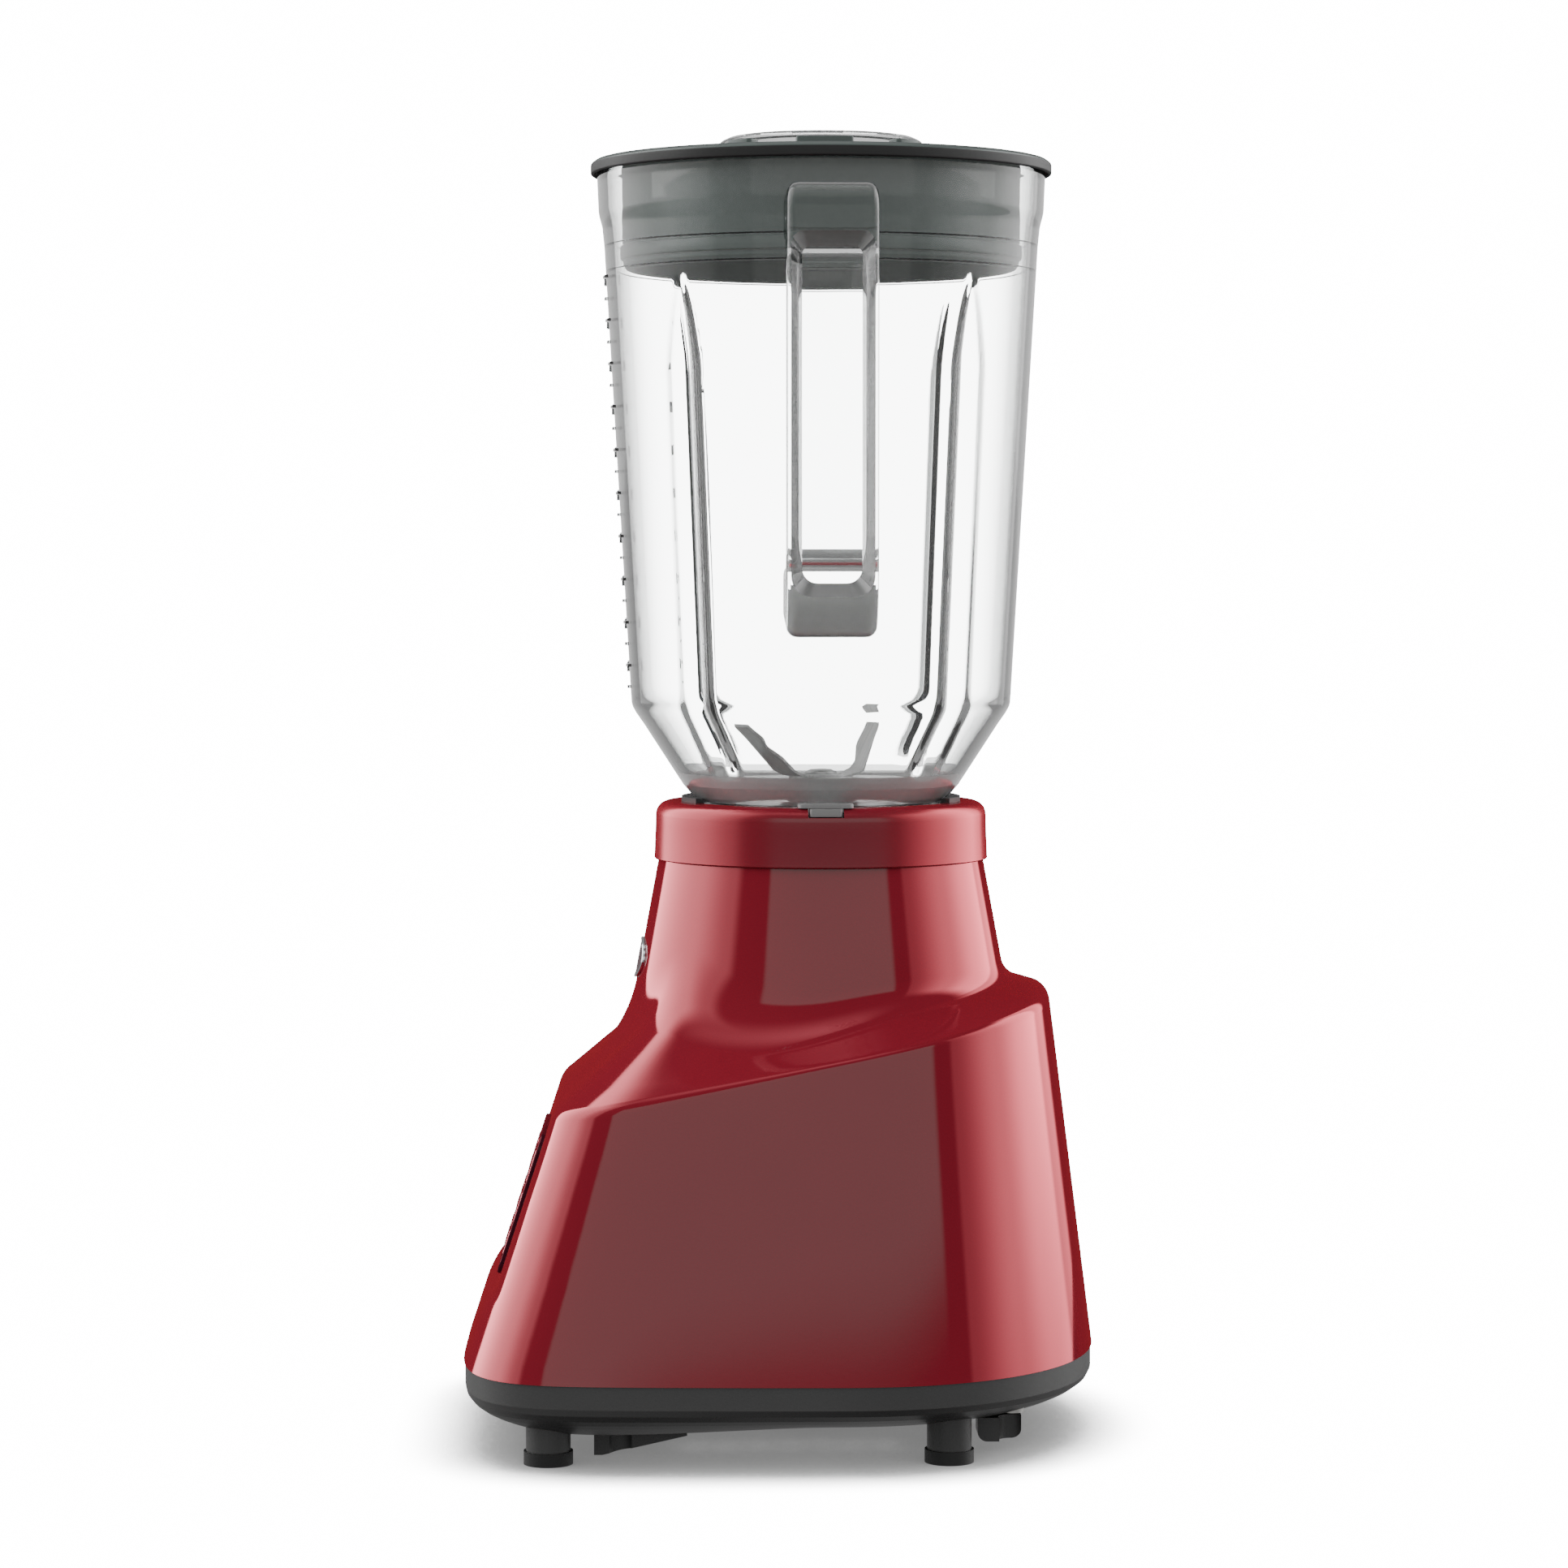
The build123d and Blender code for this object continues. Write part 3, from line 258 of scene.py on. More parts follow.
SLOT_OF = {
    "base_red": "red", "collar_red": "collar", "clear_jar": "clear", "clear_cap": "clear_cap", "lid_grey": "lid",
    "seal_grey": "seal", "seat_black": "black", "deck_black": "deck", "pan_grey": "pan", "foot_rubber": "black",
    "nut_grey": "nut", "panel_dark": "panel", "button_dark": "panel", "badge_silver": "silver",
    "steel": "steel", "screw_steel": "plated", "lamination": "lamination", "copper": "copper",
    "bronze": "bronze", "cast_alloy": "cast", "carbon": "carbon", "board": "board", "fan_black": "deck",
}


def dress_cad(mats):
    for part in frame["record"]["subparts"]:
        obj = frame["nodes"][part["node"]]
        obj.data.materials.clear()
        obj.data.materials.append(mats[SLOT_OF[part["material_slot"]]])


# ------------------------------------------------------------------ mesh helpers
def mesh_object(name, verts, faces, mat, sharp=35.0):
    """Object from millimetre vertices, smooth apart from edges sharper than an angle."""
    mesh = bpy.data.meshes.new(name)
    mesh.from_pydata([(x * MM, y * MM, z * MM) for x, y, z in verts], [], faces)
    mesh.validate()
    work = bmesh.new()
    work.from_mesh(mesh)
    bmesh.ops.recalc_face_normals(work, faces=work.faces)
    work.to_mesh(mesh)
    work.free()
    obj = bpy.data.objects.new(name, mesh)
    bpy.context.scene.collection.objects.link(obj)
    mesh.materials.append(mat)
    smooth(mesh, sharp)
    return obj


def smooth(mesh, sharp=35.0):
    mesh.polygons.foreach_set("use_smooth", [True] * len(mesh.polygons))
    mesh.set_sharp_from_angle(angle=math.radians(sharp))
    mesh.update()


def round_corners(points, steps):
    """Closed (x, y, radius) outline with its corners turned into arcs."""
    out = []
    n = len(points)
    for i, (x, y, r) in enumerate(points):
        px, py, _ = points[i - 1]
        nx, ny, _ = points[(i + 1) % n]
        a, b = Vector((px - x, py - y)), Vector((nx - x, ny - y))
        la, lb = a.length, b.length
        if r <= 0 or la < 1e-6 or lb < 1e-6:
            out.append((x, y))
            continue
        a, b = a / la, b / lb
        half = math.acos(max(-1, min(1, a.dot(b)))) / 2
        if half > math.pi / 2 - 0.02:
            out.append((x, y))
            continue
        cut = min(r / math.tan(half), la * 0.49, lb * 0.49)
        rad = cut * math.tan(half)
        centre = Vector((x, y)) + (a + b).normalized() * (rad / math.sin(half))
        start = Vector((x, y)) + a * cut - centre
        end = Vector((x, y)) + b * cut - centre
        turn = math.atan2(start.x * end.y - start.y * end.x, start.dot(end))
        for k in range(steps + 1):
            t = turn * k / steps
            c, s = math.cos(t), math.sin(t)
            out.append((centre.x + start.x * c - start.y * s, centre.y + start.x * s + start.y * c))
    return out


def lathe(name, outline, mat, segments, warp=None, sharp=35.0):
    """Revolve a closed (radius, height) outline about the drive axis."""
    verts, rows = [], []
    for r, z in outline:
        if r < 1e-4:
            rows.append([len(verts)])
            verts.append((0, DRIVE_Y, z))
            continue
        row = []
        for k in range(segments):
            a = 2 * math.pi * k / segments
            rr = r if warp is None else warp(r, z, a)
            row.append(len(verts))
            verts.append((rr * math.cos(a), rr * math.sin(a) + DRIVE_Y, z))
        rows.append(row)
    faces = []
    for i in range(len(rows)):
        a, b = rows[i], rows[(i + 1) % len(rows)]
        if len(a) == 1 and len(b) == 1:
            continue
        for k in range(segments):
            k2 = (k + 1) % segments
            if len(a) == 1:
                faces.append((a[0], b[k], b[k2]))
            elif len(b) == 1:
                faces.append((a[k], a[k2], b[0]))
            else:
                faces.append((a[k], a[k2], b[k2], b[k]))
    return mesh_object(name, verts, faces, mat, sharp)


def prism(name, outline, depth, mat, place, bevel=0.0):
    """Extrude a closed outline along local z from 0 to depth, round its top rim, then place it."""
    work = bmesh.new()
    low = [work.verts.new((x * MM, y * MM, 0)) for x, y in outline]
    face = work.faces.new(low)
    made = bmesh.ops.extrude_face_region(work, geom=[face])
    top = [v for v in made["geom"] if isinstance(v, bmesh.types.BMVert)]
    bmesh.ops.translate(work, verts=top, vec=(0, 0, depth * MM))
    bmesh.ops.recalc_face_normals(work, faces=work.faces)
    if bevel:
        rim = [e for e in work.edges if all(v in top for v in e.verts)]
        bmesh.ops.bevel(work, geom=rim, offset=bevel * MM, segments=3, profile=0.5, affect="EDGES")
    work.transform(place)
    mesh = bpy.data.meshes.new(name)
    work.to_mesh(mesh)
    work.free()
    obj = bpy.data.objects.new(name, mesh)
    bpy.context.scene.collection.objects.link(obj)
    mesh.materials.append(mat)
    smooth(mesh)
    return obj


def apply_modifiers(obj):
    bpy.context.view_layer.update()
    done = bpy.data.meshes.new_from_object(obj.evaluated_get(bpy.context.evaluated_depsgraph_get()))
    obj.modifiers.clear()
    old = obj.data
    obj.data = done
    bpy.data.meshes.remove(old)


def carve(obj, tool, operation="DIFFERENCE", sharp=35.0):
    """Boolean one object with another, apply it and drop the tool."""
    mod = obj.modifiers.new("carve", "BOOLEAN")
    mod.operation = operation
    mod.solver = "EXACT"
    mod.material_mode = "TRANSFER"
    mod.object = tool
    apply_modifiers(obj)
    bpy.data.objects.remove(tool)
    smooth(obj.data, sharp)


def join(name, objs):
    """Merge objects into one new object, keeping their materials."""
    work = bmesh.new()
    mats_list = []
    for o in objs:
        offset = len(mats_list)
        start = len(work.faces)
        work.from_mesh(o.data)
        work.faces.ensure_lookup_table()
        for f in work.faces[start:]:
            f.material_index += offset
        mats_list += list(o.data.materials)
    mesh = bpy.data.meshes.new(name)
    work.to_mesh(mesh)
    work.free()
    for mat in mats_list:
        mesh.materials.append(mat)
    for o in objs:
        bpy.data.objects.remove(o)
    obj = bpy.data.objects.new(name, mesh)
    bpy.context.scene.collection.objects.link(obj)
    return obj


def settle(obj, body, slot, *nodes):
    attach(obj, body)
    if nodes:
        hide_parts(*nodes)


# ------------------------------------------------------------------ housing surface (mm, drive-axis polar)
Z_SEAM, NECK_TOP = 27.0, 177.0
NECK_R, NECK_Z, NECK_SLOPE = 51.2, 173.5, 0.185
FACET_Y, FACET_Z, FACET_SLOPE = 99.1, 51.6, 0.325       # flat front facet behind the panel
CREASE_Z = 119.5                    # crease between the sloping top and the sides


def smooth_min(a, b, k):
    """Lesser of two numbers, rounded where they are within k of each other."""
    h = max(k - abs(a - b), 0.0) / k
    return min(a, b) - h * h * k / 4


def smooth_step(t):
    t = min(max(t, 0.0), 1.0)
    return t * t * (3 - 2 * t)


def plan_radius(phi, z, inset):
    """Radius of the housing's side at an azimuth and height, found by bisection."""
    rise = z - Z_SEAM
    half = 90.5 - 0.137 * rise - inset
    rear = 79.5 - 0.1254 * rise - inset
    front = 115.5 - 0.33 * rise - inset
    c, s = abs(math.cos(phi)), math.sin(phi)
    lo, hi = 5.0, 160.0
    for _ in range(34):
        r = (lo + hi) / 2
        x, y = r * c, r * s - 5.0
        if y > 0:
            value = (x / half) ** 2.2 + (y / rear) ** 2.2
        else:
            v = -y / front
            value = (x / max(half - 4.6 * min(v, 1.2) ** 1.5, 1.0)) ** 4 + v ** 9
        if value < 1:
            lo = r
        else:
            hi = r
    r = (lo + hi) / 2
    if s < -0.05:
        ledge = 4.4 * smooth_step((51.5 - z) / 9.5)
        flat = (FACET_Y - FACET_SLOPE * (z - FACET_Z) + ledge - inset) / -s
        r = smooth_min(r, flat, 2.4)
    return r


def blend_arc(corner, d_in, d_out, radius, count):
    """Points of the arc that rounds a corner between two directions."""
    cross = d_in[0] * d_out[1] - d_in[1] * d_out[0]
    theta = math.acos(max(-1.0, min(1.0, d_in[0] * d_out[0] + d_in[1] * d_out[1])))
    sign = 1.0 if cross > 0 else -1.0
    reach = radius * math.tan(theta / 2)
    start = (corner[0] - reach * d_in[0], corner[1] - reach * d_in[1])
    centre = (start[0] - sign * radius * d_in[1], start[1] + sign * radius * d_in[0])
    points = []
    for i in range(count):
        a = sign * theta * i / (count - 1)
        dx = d_in[0] * math.cos(a) - d_in[1] * math.sin(a)
        dz = d_in[0] * math.sin(a) + d_in[1] * math.cos(a)
        points.append((centre[0] + sign * radius * dz, centre[1] - sign * radius * dx))
    return points


def meridian(phi, inset, z_top, z_bottom):
    """(radius, height) points down the housing at an azimuth, moved in by an inset."""
    c = -math.sin(phi)
    top_angle = math.radians(28 + 11 * c - c * c)
    drop = inset / math.cos(top_angle)
    z = CREASE_Z
    for _ in range(16):
        r = plan_radius(phi, z, inset)
        x, y = r * math.cos(phi), r * math.sin(phi)
        target = CREASE_Z + 0.2 * (y + 5.2) + 3.0 * math.exp(-(x / 38) ** 2)
        z = 0.4 * z + 0.6 * (target - 0.75 * drop)
    corner = (plan_radius(phi, z, inset), z)
    cut = corner[0] - NECK_R + inset - (NECK_Z - corner[1]) * NECK_SLOPE
    run = cut / (math.cos(top_angle) - NECK_SLOPE * math.sin(top_angle))
    foot = (corner[0] - run * math.cos(top_angle), corner[1] + run * math.sin(top_angle))
    n = math.hypot(NECK_SLOPE, 1)
    fall = (plan_radius(phi, z - 5, inset) - corner[0]) / 5
    m = math.hypot(fall, 1)
    d_neck, d_side = (NECK_SLOPE / n, -1 / n), (fall / m, -1 / m)
    d_top = (math.cos(top_angle), -math.sin(top_angle))
    r_hollow = math.exp(3.091 + 0.930 * c - 0.215 * c * c) + inset
    r_edge = max(2.5 + 2 * c + 5.5 * c * c - inset, 0.8)
    hollow = blend_arc(foot, d_neck, d_top, r_hollow, 20)
    edge = blend_arc(corner, d_top, d_side, r_edge, 11)
    points = []
    for k in range(6):
        zz = z_top + (hollow[0][1] - z_top) * k / 6
        points.append((NECK_R + (NECK_Z - zz) * NECK_SLOPE - inset, zz))
    points += hollow
    for k in range(1, 4):
        t = k / 4
        points.append((hollow[-1][0] * (1 - t) + edge[0][0] * t, hollow[-1][1] * (1 - t) + edge[0][1] * t))
    points += edge
    last = edge[-1][1]
    for zz in [last + (54 - last) * k / 7 for k in range(1, 8)] + [53 - k for k in range(1, 14)] + [36, 32, z_bottom]:
        points.append((plan_radius(phi, zz, inset), zz))
    return points


def skin(name, outer, inner, mat):
    """Closed shell between two meridian functions of azimuth."""
    count = 240
    verts, loops = [], []
    for i in range(count):
        phi = -math.pi / 2 + 2 * math.pi * i / count
        loop = []
        for r, z in outer(phi) + inner(phi)[::-1]:
            loop.append(len(verts))
            verts.append((r * math.cos(phi), r * math.sin(phi) + DRIVE_Y, z))
        loops.append(loop)
    faces = []
    n = len(loops[0])
    for i in range(count):
        a, b = loops[i], loops[(i + 1) % count]
        for k in range(n):
            k2 = (k + 1) % n
            faces.append((a[k], b[k], b[k2], a[k2]))
    return mesh_object(name, verts, faces, mat)


PANEL_Z = 71.0
PANEL_TILT = math.atan(FACET_SLOPE)


def panel_place(u, v, w):
    """Matrix that puts local x across, y up the slope, z outward on the front facet (mm)."""
    y = DRIVE_Y - FACET_Y + FACET_SLOPE * (PANEL_Z - FACET_Z)
    across, up = Vector((1, 0, 0)), Vector((0, math.sin(PANEL_TILT), math.cos(PANEL_TILT)))
    out = Vector((0, -math.cos(PANEL_TILT), math.sin(PANEL_TILT)))
    at = Vector((0, y, PANEL_Z)) + across * u + up * v + out * w
    m = Matrix((across, up, out)).transposed().to_4x4()
    return Matrix.Translation(at * MM) @ m


def shield(offset):
    """Outline of the panel, grown by an offset."""
    r = 5.0 + offset
    return round_corners([(-31 - offset, 24 + offset, r), (31 + offset, 24 + offset, r),
                          (24 + offset, -22 - offset, r), (-24 - offset, -22 - offset, r)], 6)


def make_housing(m):
    shell = skin("housing", lambda p: meridian(p, 0.0, NECK_TOP, Z_SEAM),
                 lambda p: meridian(p, 2.5, NECK_TOP, Z_SEAM), m["red"])
    carve(shell, prism("cutter", shield(0.3), 12, m["red"], panel_place(0, 0, -1.3)))
    window = [(-27, 20.5), (27, 20.5), (21.5, -18.5), (-21.5, -18.5)]
    carve(shell, prism("cutter", window, 12, m["red"], panel_place(0, 0, -9)))
    settle(shell, "base", "base_red", "base_housing")


# ------------------------------------------------------------------ collar
def make_collar(m):
    arc = []
    for k in range(13):
        a = math.radians(90 - 7.5 * k)
        arc.append((47.2 + 4.2 * math.cos(a), 190.8 + 4.2 * math.sin(a)))
    outline = ([(43.6, 194.66), (41.3, 194.66), (41.35, 194.85), (41.9, 195.0)] + arc
               + [(51.45, 188.0), (51.85, 178.0), (51.88, 177.4), (51.6, 177.1), (48.0, 177.1), (48.0, 167.0),
                  (45.6, 167.0), (45.6, 176.0), (43.6, 178.5)])
    ring = lathe("collar", outline, m["collar"], 256)
    notch = prism("cutter", [(36, -5.4), (60, -5.4), (60, 5.4), (36, 5.4)], 12,
                  m["collar"], on_axis(192.3))
    carve(ring, notch)
    settle(ring, "base", "collar_red", "collar_ring")


def make_nut(m):
    """Threaded nut under the jar with the bayonet tab that rests on the collar."""
    body = lathe("nut_ring", round_corners([
        (26.5, 179.5, 0.4), (37.6, 179.5, 0.8), (38.6, 180.6, 0.4), (38.6, 193.5, 0.4), (35.4, 193.5, 0.4),
        (35.4, 186.0, 0.4), (34.4, 184.8, 0.4), (34.4, 182.2, 0.4), (26.5, 182.2, 0.4)], 3), m["nut"], 128)
    parts = [body]
    for i in range(18):
        rib = round_corners([(38.0, -1.1, 0.2), (39.6, -0.8, 0.5), (39.6, 0.8, 0.5), (38.0, 1.1, 0.2)], 3)
        parts.append(prism("rib", rib, 11.5, m["nut"], on_axis_turned(181, 20 * i + 10), 0.3))
    tab = round_corners([(38.0, -4.9, 0.3), (50.6, -4.9, 1.0), (50.6, 4.9, 1.0), (38.0, 4.9, 0.3)], 3)
    parts.append(prism("tab", tab, 2.4, m["nut"], on_axis(192.6), 0.4))
    wing = round_corners([(42.4, -8.4, 0.8), (49.2, -8.4, 2.0), (49.2, 8.4, 2.0), (42.4, 8.4, 0.8)], 4)
    parts.append(prism("wing", wing, 1.3, m["nut"], on_axis(195.1), 0.4))
    settle(join("jar_nut_ring", parts), "jar_unit", "nut_grey", "jar_nut")


# ------------------------------------------------------------------ jar
WAIST_Z = 224.8                     # bend between the jar's wall and its foot
FLUTE_TOP, FLUTE_FOOT = 353, 202.5
FLUTES = ((42, -1), (138, 1), (222, -1), (318, 1))      # azimuth, side of the steep face
# material indices on the jar shell for painted shade: dark rings, the grey base and the grey steep faces of the
# flutes
SHADE, BASE_SHADE, FLUTE_SHADE = 1, 2, 3        # material indices on the jar shell


def jar_outer(z):
    """Outer radius of the jar's wall, without the flutes."""
    if z >= WAIST_Z:
        if z >= 377.9:
            return 68.9 + (z - 377.9) * 0.5 / 11.8
        if z >= 370.9:
            t = smooth_step((z - 370.9) / 7.0)
            return 67.6 + 1.3 * t
        if z >= 366.4:
            return 67.1 + (z - 366.4) * 0.11
        return 58.9 + (z - WAIST_Z) * 8.2 / 141.6
    return 43.0 + (z - 200.2) * 15.9 / 24.6


def flute_width(z):
    return min(1.0, ((FLUTE_TOP - z) / 25.0)) ** 0.55


def from_flute(degrees, mid):
    return (degrees - mid + 180) % 360 - 180


def fluted(r, z, a):
    """Radius with the inset of the four flutes, which have lancet tops."""
    if z > FLUTE_TOP or z < FLUTE_FOOT:
        return r
    best = 0.0
    grow = flute_width(z)
    foot = smooth_step((z - FLUTE_FOOT) / 9.0)
    for mid, side in FLUTES:
        across = math.radians(from_flute(math.degrees(a), mid)) * r * side
        width = (5.6 if across > 0 else 6.4) * grow
        if width < 0.2:
            continue
        t = max(0.0, 1.0 - abs(across) / width)
        best = max(best, 4.0 * min(1.0, grow * 1.1) * foot * (1 - (1 - t) ** 1.2))
    return r - best


def make_jar(m):
    zs = [389.2, 386, 382, 378.5]
    zs += [377.5 - 0.7 * k for k in range(10)] + [369.5, 368, 366.7, 366.3, 364, 361, 359.0, 358.6, 356]
    zs += [353 - k * 1.0 for k in range(28)] + [324 - 6.0 * k for k in range(17)]
    outer = [(jar_outer(z), z) for z in zs]
    outer += round_corners([(jar_outer(227), 227.6, 0), (58.9, WAIST_Z, 6.0), (57.4, 222.2, 0)], 6)
    outer += [(jar_outer(z), z) for z in (219, 216, 213, 210, 207, 204, 202)]
    outer += round_corners([(43.6, 201.2, 0), (43.0, 200.2, 2.0), (39.7, 196.4, 1.5), (38.4, 195.2, 0.4),
                            (34.6, 194.4, 0.5), (34.6, 186.8, 0.3)], 4)[0:-1]
    outer.append((34.6, 186.8))
    inner = [(28.4, 186.8), (28.4, 199.0), (28.8, 199.5), (30, 199.8), (34, 200.3), (37.2, 201.0), (38.6, 201.8),
             (39.6, 202.8)]
    inner += [(41.5 + (z - 204.6) * (55.7 - 41.5) / 21.8, z) for z in (204.6, 207, 210, 213, 216, 219, 222)]
    inner += [(54.4, 224.6), (55.2, 226.2), (55.7, 228)]
    up = [231 + 6.0 * k for k in range(16)] + [325 + k for k in range(29)] + [357, 361, 364, 366.4, 368, 369.5]
    up += [371.2 + 0.7 * k for k in range(10)] + [378.5, 382, 386]
    inner += [(jar_outer(z) - 3.2, z) for z in up]
    inner += [(66.15, 388.8), (66.4, 389.5), (67.2, 389.7), (68.6, 389.7), (69.2, 389.5)]
    jar = lathe("jar_shell", outer + inner, m["clear"], 480, fluted, 40)
    for slot in ("clear_shade", "clear_base_shade", "clear_flute_shade"):
        jar.data.materials.append(m[slot])
    for face in jar.data.polygons:
        at = (face.center - AXIS) / MM
        flat = math.hypot(at.x, at.y)
        # painted shade: faces of the jar's base below 203.4 mm take the grey hazed clear
        if at.z < 203.4:
            face.material_index = BASE_SHADE
        if flat > jar_outer(at.z) - 1 and (366.3 < at.z < 366.7 or 358.6 < at.z < 359.0):
            face.material_index = SHADE
        # painted shade: the steep side face of each flute takes the grey flute material
        if flat < jar_outer(at.z) - 4.6 or not 206 < at.z < 352:
            continue
        if face.normal.x * at.x + face.normal.y * at.y < 0:
            continue
        grow = flute_width(at.z)
        for mid, side in FLUTES:
            off = from_flute(math.degrees(math.atan2(at.y, at.x)), mid)
            if 0.3 * grow < math.radians(off) * flat * side < 5.0 * grow:
                face.material_index = FLUTE_SHADE
    carve(jar, make_handle(m), "UNION", 40)
    jar.name = "jar_clear"
    settle(jar, "jar_unit", "clear_jar", "jar")


def make_handle(m):
    top, low, out = 378.0, 247.0, 112.0
    outline = round_corners([
        (66.6, top, 0), (out, top, 9.0), (out, low + 12, 16.0), (out - 12, low, 9.0), (58.2, low + 4, 0),
        (59.3, low + 22, 0), (94, low + 18, 11.0), (94, top - 17, 11.0), (64.9, top - 15.5, 0)], 8)
    place = Matrix(((1, 0, 0, 0), (0, 0, -1, (DRIVE_Y + 13.2) * MM), (0, 1, 0, 0), (0, 0, 0, 1)))
    body = prism("handle", outline, 26.4, m["clear"], place)
    mod = body.modifiers.new("edge", "BEVEL")
    mod.width = 3.2 * MM
    mod.segments = 4
    mod.limit_method = "ANGLE"
    mod.angle_limit = math.radians(50)
    apply_modifiers(body)
    floor = round_corners([(-8.7, 263.0, 4.5), (8.7, 263.0, 4.5), (8.7, 359.5, 2.0), (-8.7, 359.5, 2.0)], 8)
    mouth = round_corners([(-13.6, 257.0, 7.0), (13.6, 257.0, 7.0), (13.6, 365.0, 5.0), (-13.6, 365.0, 5.0)], 8)
    n = len(floor)
    verts = [(101.5, DRIVE_Y + u, v) for u, v in floor] + [(115.5, DRIVE_Y + u, v) for u, v in mouth]
    faces = [tuple(range(n)), tuple(range(n, 2 * n))]
    faces += [(k, (k + 1) % n, n + (k + 1) % n, n + k) for k in range(n)]
    cutter = mesh_object("cutter", verts, faces, m["clear"])
    cutter.data.materials.append(m["clear_edge_shade"])
    cutter.data.materials.append(m["clear_hazed_shade"])
    # the hazed grey clear paints shade on the groove's floor and top and on faces at the handle's lower end
    body.data.materials.append(m["clear_hazed_shade"])
    # the groove's ends stay clear and its side walls take the grey edge-on clear as painted shade; its floor and top
    # take the hazed grey
    for face in cutter.data.polygons:
        face.material_index = 0 if face.index < 2 else 2 if abs(face.normal.z) > 0.5 else 1
    carve(body, cutter, "DIFFERENCE", 40)
    # painted shade: the outward and downward faces at the handle's lower end turn hazed grey
    hazed_shade = next(i for i, mat in enumerate(body.data.materials) if mat == m["clear_hazed_shade"])
    for face in body.data.polygons:
        at = face.center / MM
        if at.z < 262 and at.x > 94 and (face.normal.x > 0.2 or face.normal.z < -0.3):
            face.material_index = hazed_shade
    return body


def make_marks(m):
    """Raised graduation lines up the front of the jar, in grey clear plastic whose tone is painted shade."""
    parts = []
    for i in range(20):
        z = 356.5 - 6.65 * i
        wide = 4.5 if i % 2 else 8.0
        r = jar_outer(z)
        bar = round_corners([(r - 0.4, -wide / 2, 0.1), (r + 1.0, -wide / 2, 0.4), (r + 1.0, wide / 2, 0.4),
                             (r - 0.4, wide / 2, 0.1)], 3)
        place = on_axis_turned(z, -90 + (4 if i % 2 else 5.4))
        parts.append(prism("mark", bar, 0.9, m["clear_edge_shade"], place, 0.2))
    for i in range(10):
        z = 354.8 - 13.3 * i
        r = jar_outer(z)
        for k, turn in enumerate((-5.5, -3.0)):
            stroke = round_corners([(r - 0.4, -0.7, 0.1), (r + 0.9, -0.7, 0.3), (r + 0.9, 0.7, 0.3),
                                    (r - 0.4, 0.7, 0.1)], 3)
            parts.append(prism("stroke", stroke, 3.4 - k * 0.4, m["clear_edge_shade"], on_axis_turned(z, -90 + turn), 0.2))
    settle(join("jar_marks", parts), "jar_unit", "clear_jar")


def make_blades(m):
    """Two blade pairs with notched tips, the upper one bent up, and the nut that holds them on the shaft."""
    parts = []
    for turn, reach, half, base, rise in ((-60, 28.0, 6.0, 202.0, 17.6), (120, 18.6, 5.2, 202.0, 17.6),
                                          (20, 25.0, 6.0, 200.6, 1.6), (200, 25.0, 6.0, 200.6, 1.6)):
        path = [(0, 0), (8.0, 0), (10.5, 0.04 * rise), (12.8, 0.15 * rise), (reach, rise)]
        plan = [(8.0, half), (reach * 0.62, half * 0.98), (reach * 0.74, half * 0.35), (reach * 0.84, half * 0.8),
                (reach, half * 0.5), (reach * 0.9, -half * 0.15), (reach, -half * 0.9), (reach * 0.6, -half * 0.96),
                (8.0, -half)]

        def lift(x):
            for (x0, z0), (x1, z1) in zip(path, path[1:]):
                if x <= x1:
                    return z0 + (z1 - z0) * (x - x0) / (x1 - x0)
            return path[-1][1]
        edge = []
        for i, (x, y) in enumerate(plan):
            nx, ny = plan[(i + 1) % len(plan)]
            count = max(1, int(max(abs(nx - x), abs(ny - y)) / 0.8))
            edge += [(x + (nx - x) * k / count, y + (ny - y) * k / count) for k in range(count)]
        verts, faces, rows = [], [], []
        for x in [8.0 + (reach - 8.0) * k / 24 for k in range(25)]:
            ys = []
            for i, (xa, ya) in enumerate(edge):
                xb, yb = edge[(i + 1) % len(edge)]
                if (xa - x) * (xb - x) <= 0 and xa != xb:
                    ys.append(ya + (yb - ya) * (x - xa) / (xb - xa))
            if len(ys) < 2:
                continue
            a, b = min(ys), max(ys)
            thin = 0.75 - 0.35 * (x - 8.0) / (reach - 8.0)
            row = []
            for y, dz in ((a, -thin), (b, -thin), (b, thin), (a, thin)):
                row.append(len(verts))
                verts.append((x, y, base + lift(x) + dz))
            rows.append(row)
        for a, b in zip(rows, rows[1:]):
            for k in range(4):
                k2 = (k + 1) % 4
                faces.append((a[k], a[k2], b[k2], b[k]))
        faces += [tuple(rows[0]), tuple(rows[-1])]
        c, q = math.cos(math.radians(turn)), math.sin(math.radians(turn))
        verts = [(x * c - y * q, x * q + y * c + DRIVE_Y, z) for x, y, z in verts]
        parts.append(mesh_object("arm", verts, faces, m["blade"], 30))
    hub = round_corners([(4.1, 199.8, 0.2), (10.0, 199.8, 0.3), (10.0, 202.8, 0.4), (4.1, 202.8, 0.2)], 3)
    parts.append(lathe("hub", hub, m["blade"], 96))
    settle(join("blade_pairs", parts), "blade_rotor", "steel", "upper_blade", "lower_blade")
    dome = round_corners([(0, 178.2, 0), (4.0, 178.2, 0.3), (4.0, 199.2, 0.2), (3.0, 199.2, 0.1), (3.0, 202.8, 0.1),
                          (5.0, 202.8, 0.3), (5.0, 204.2, 0.8), (3.4, 205.2, 0.8), (0, 205.4, 0)], 4)
    settle(lathe("blade_cap_nut", dome, m["blade"], 64), "blade_rotor", "steel", "blade_nut", "blade_shaft")


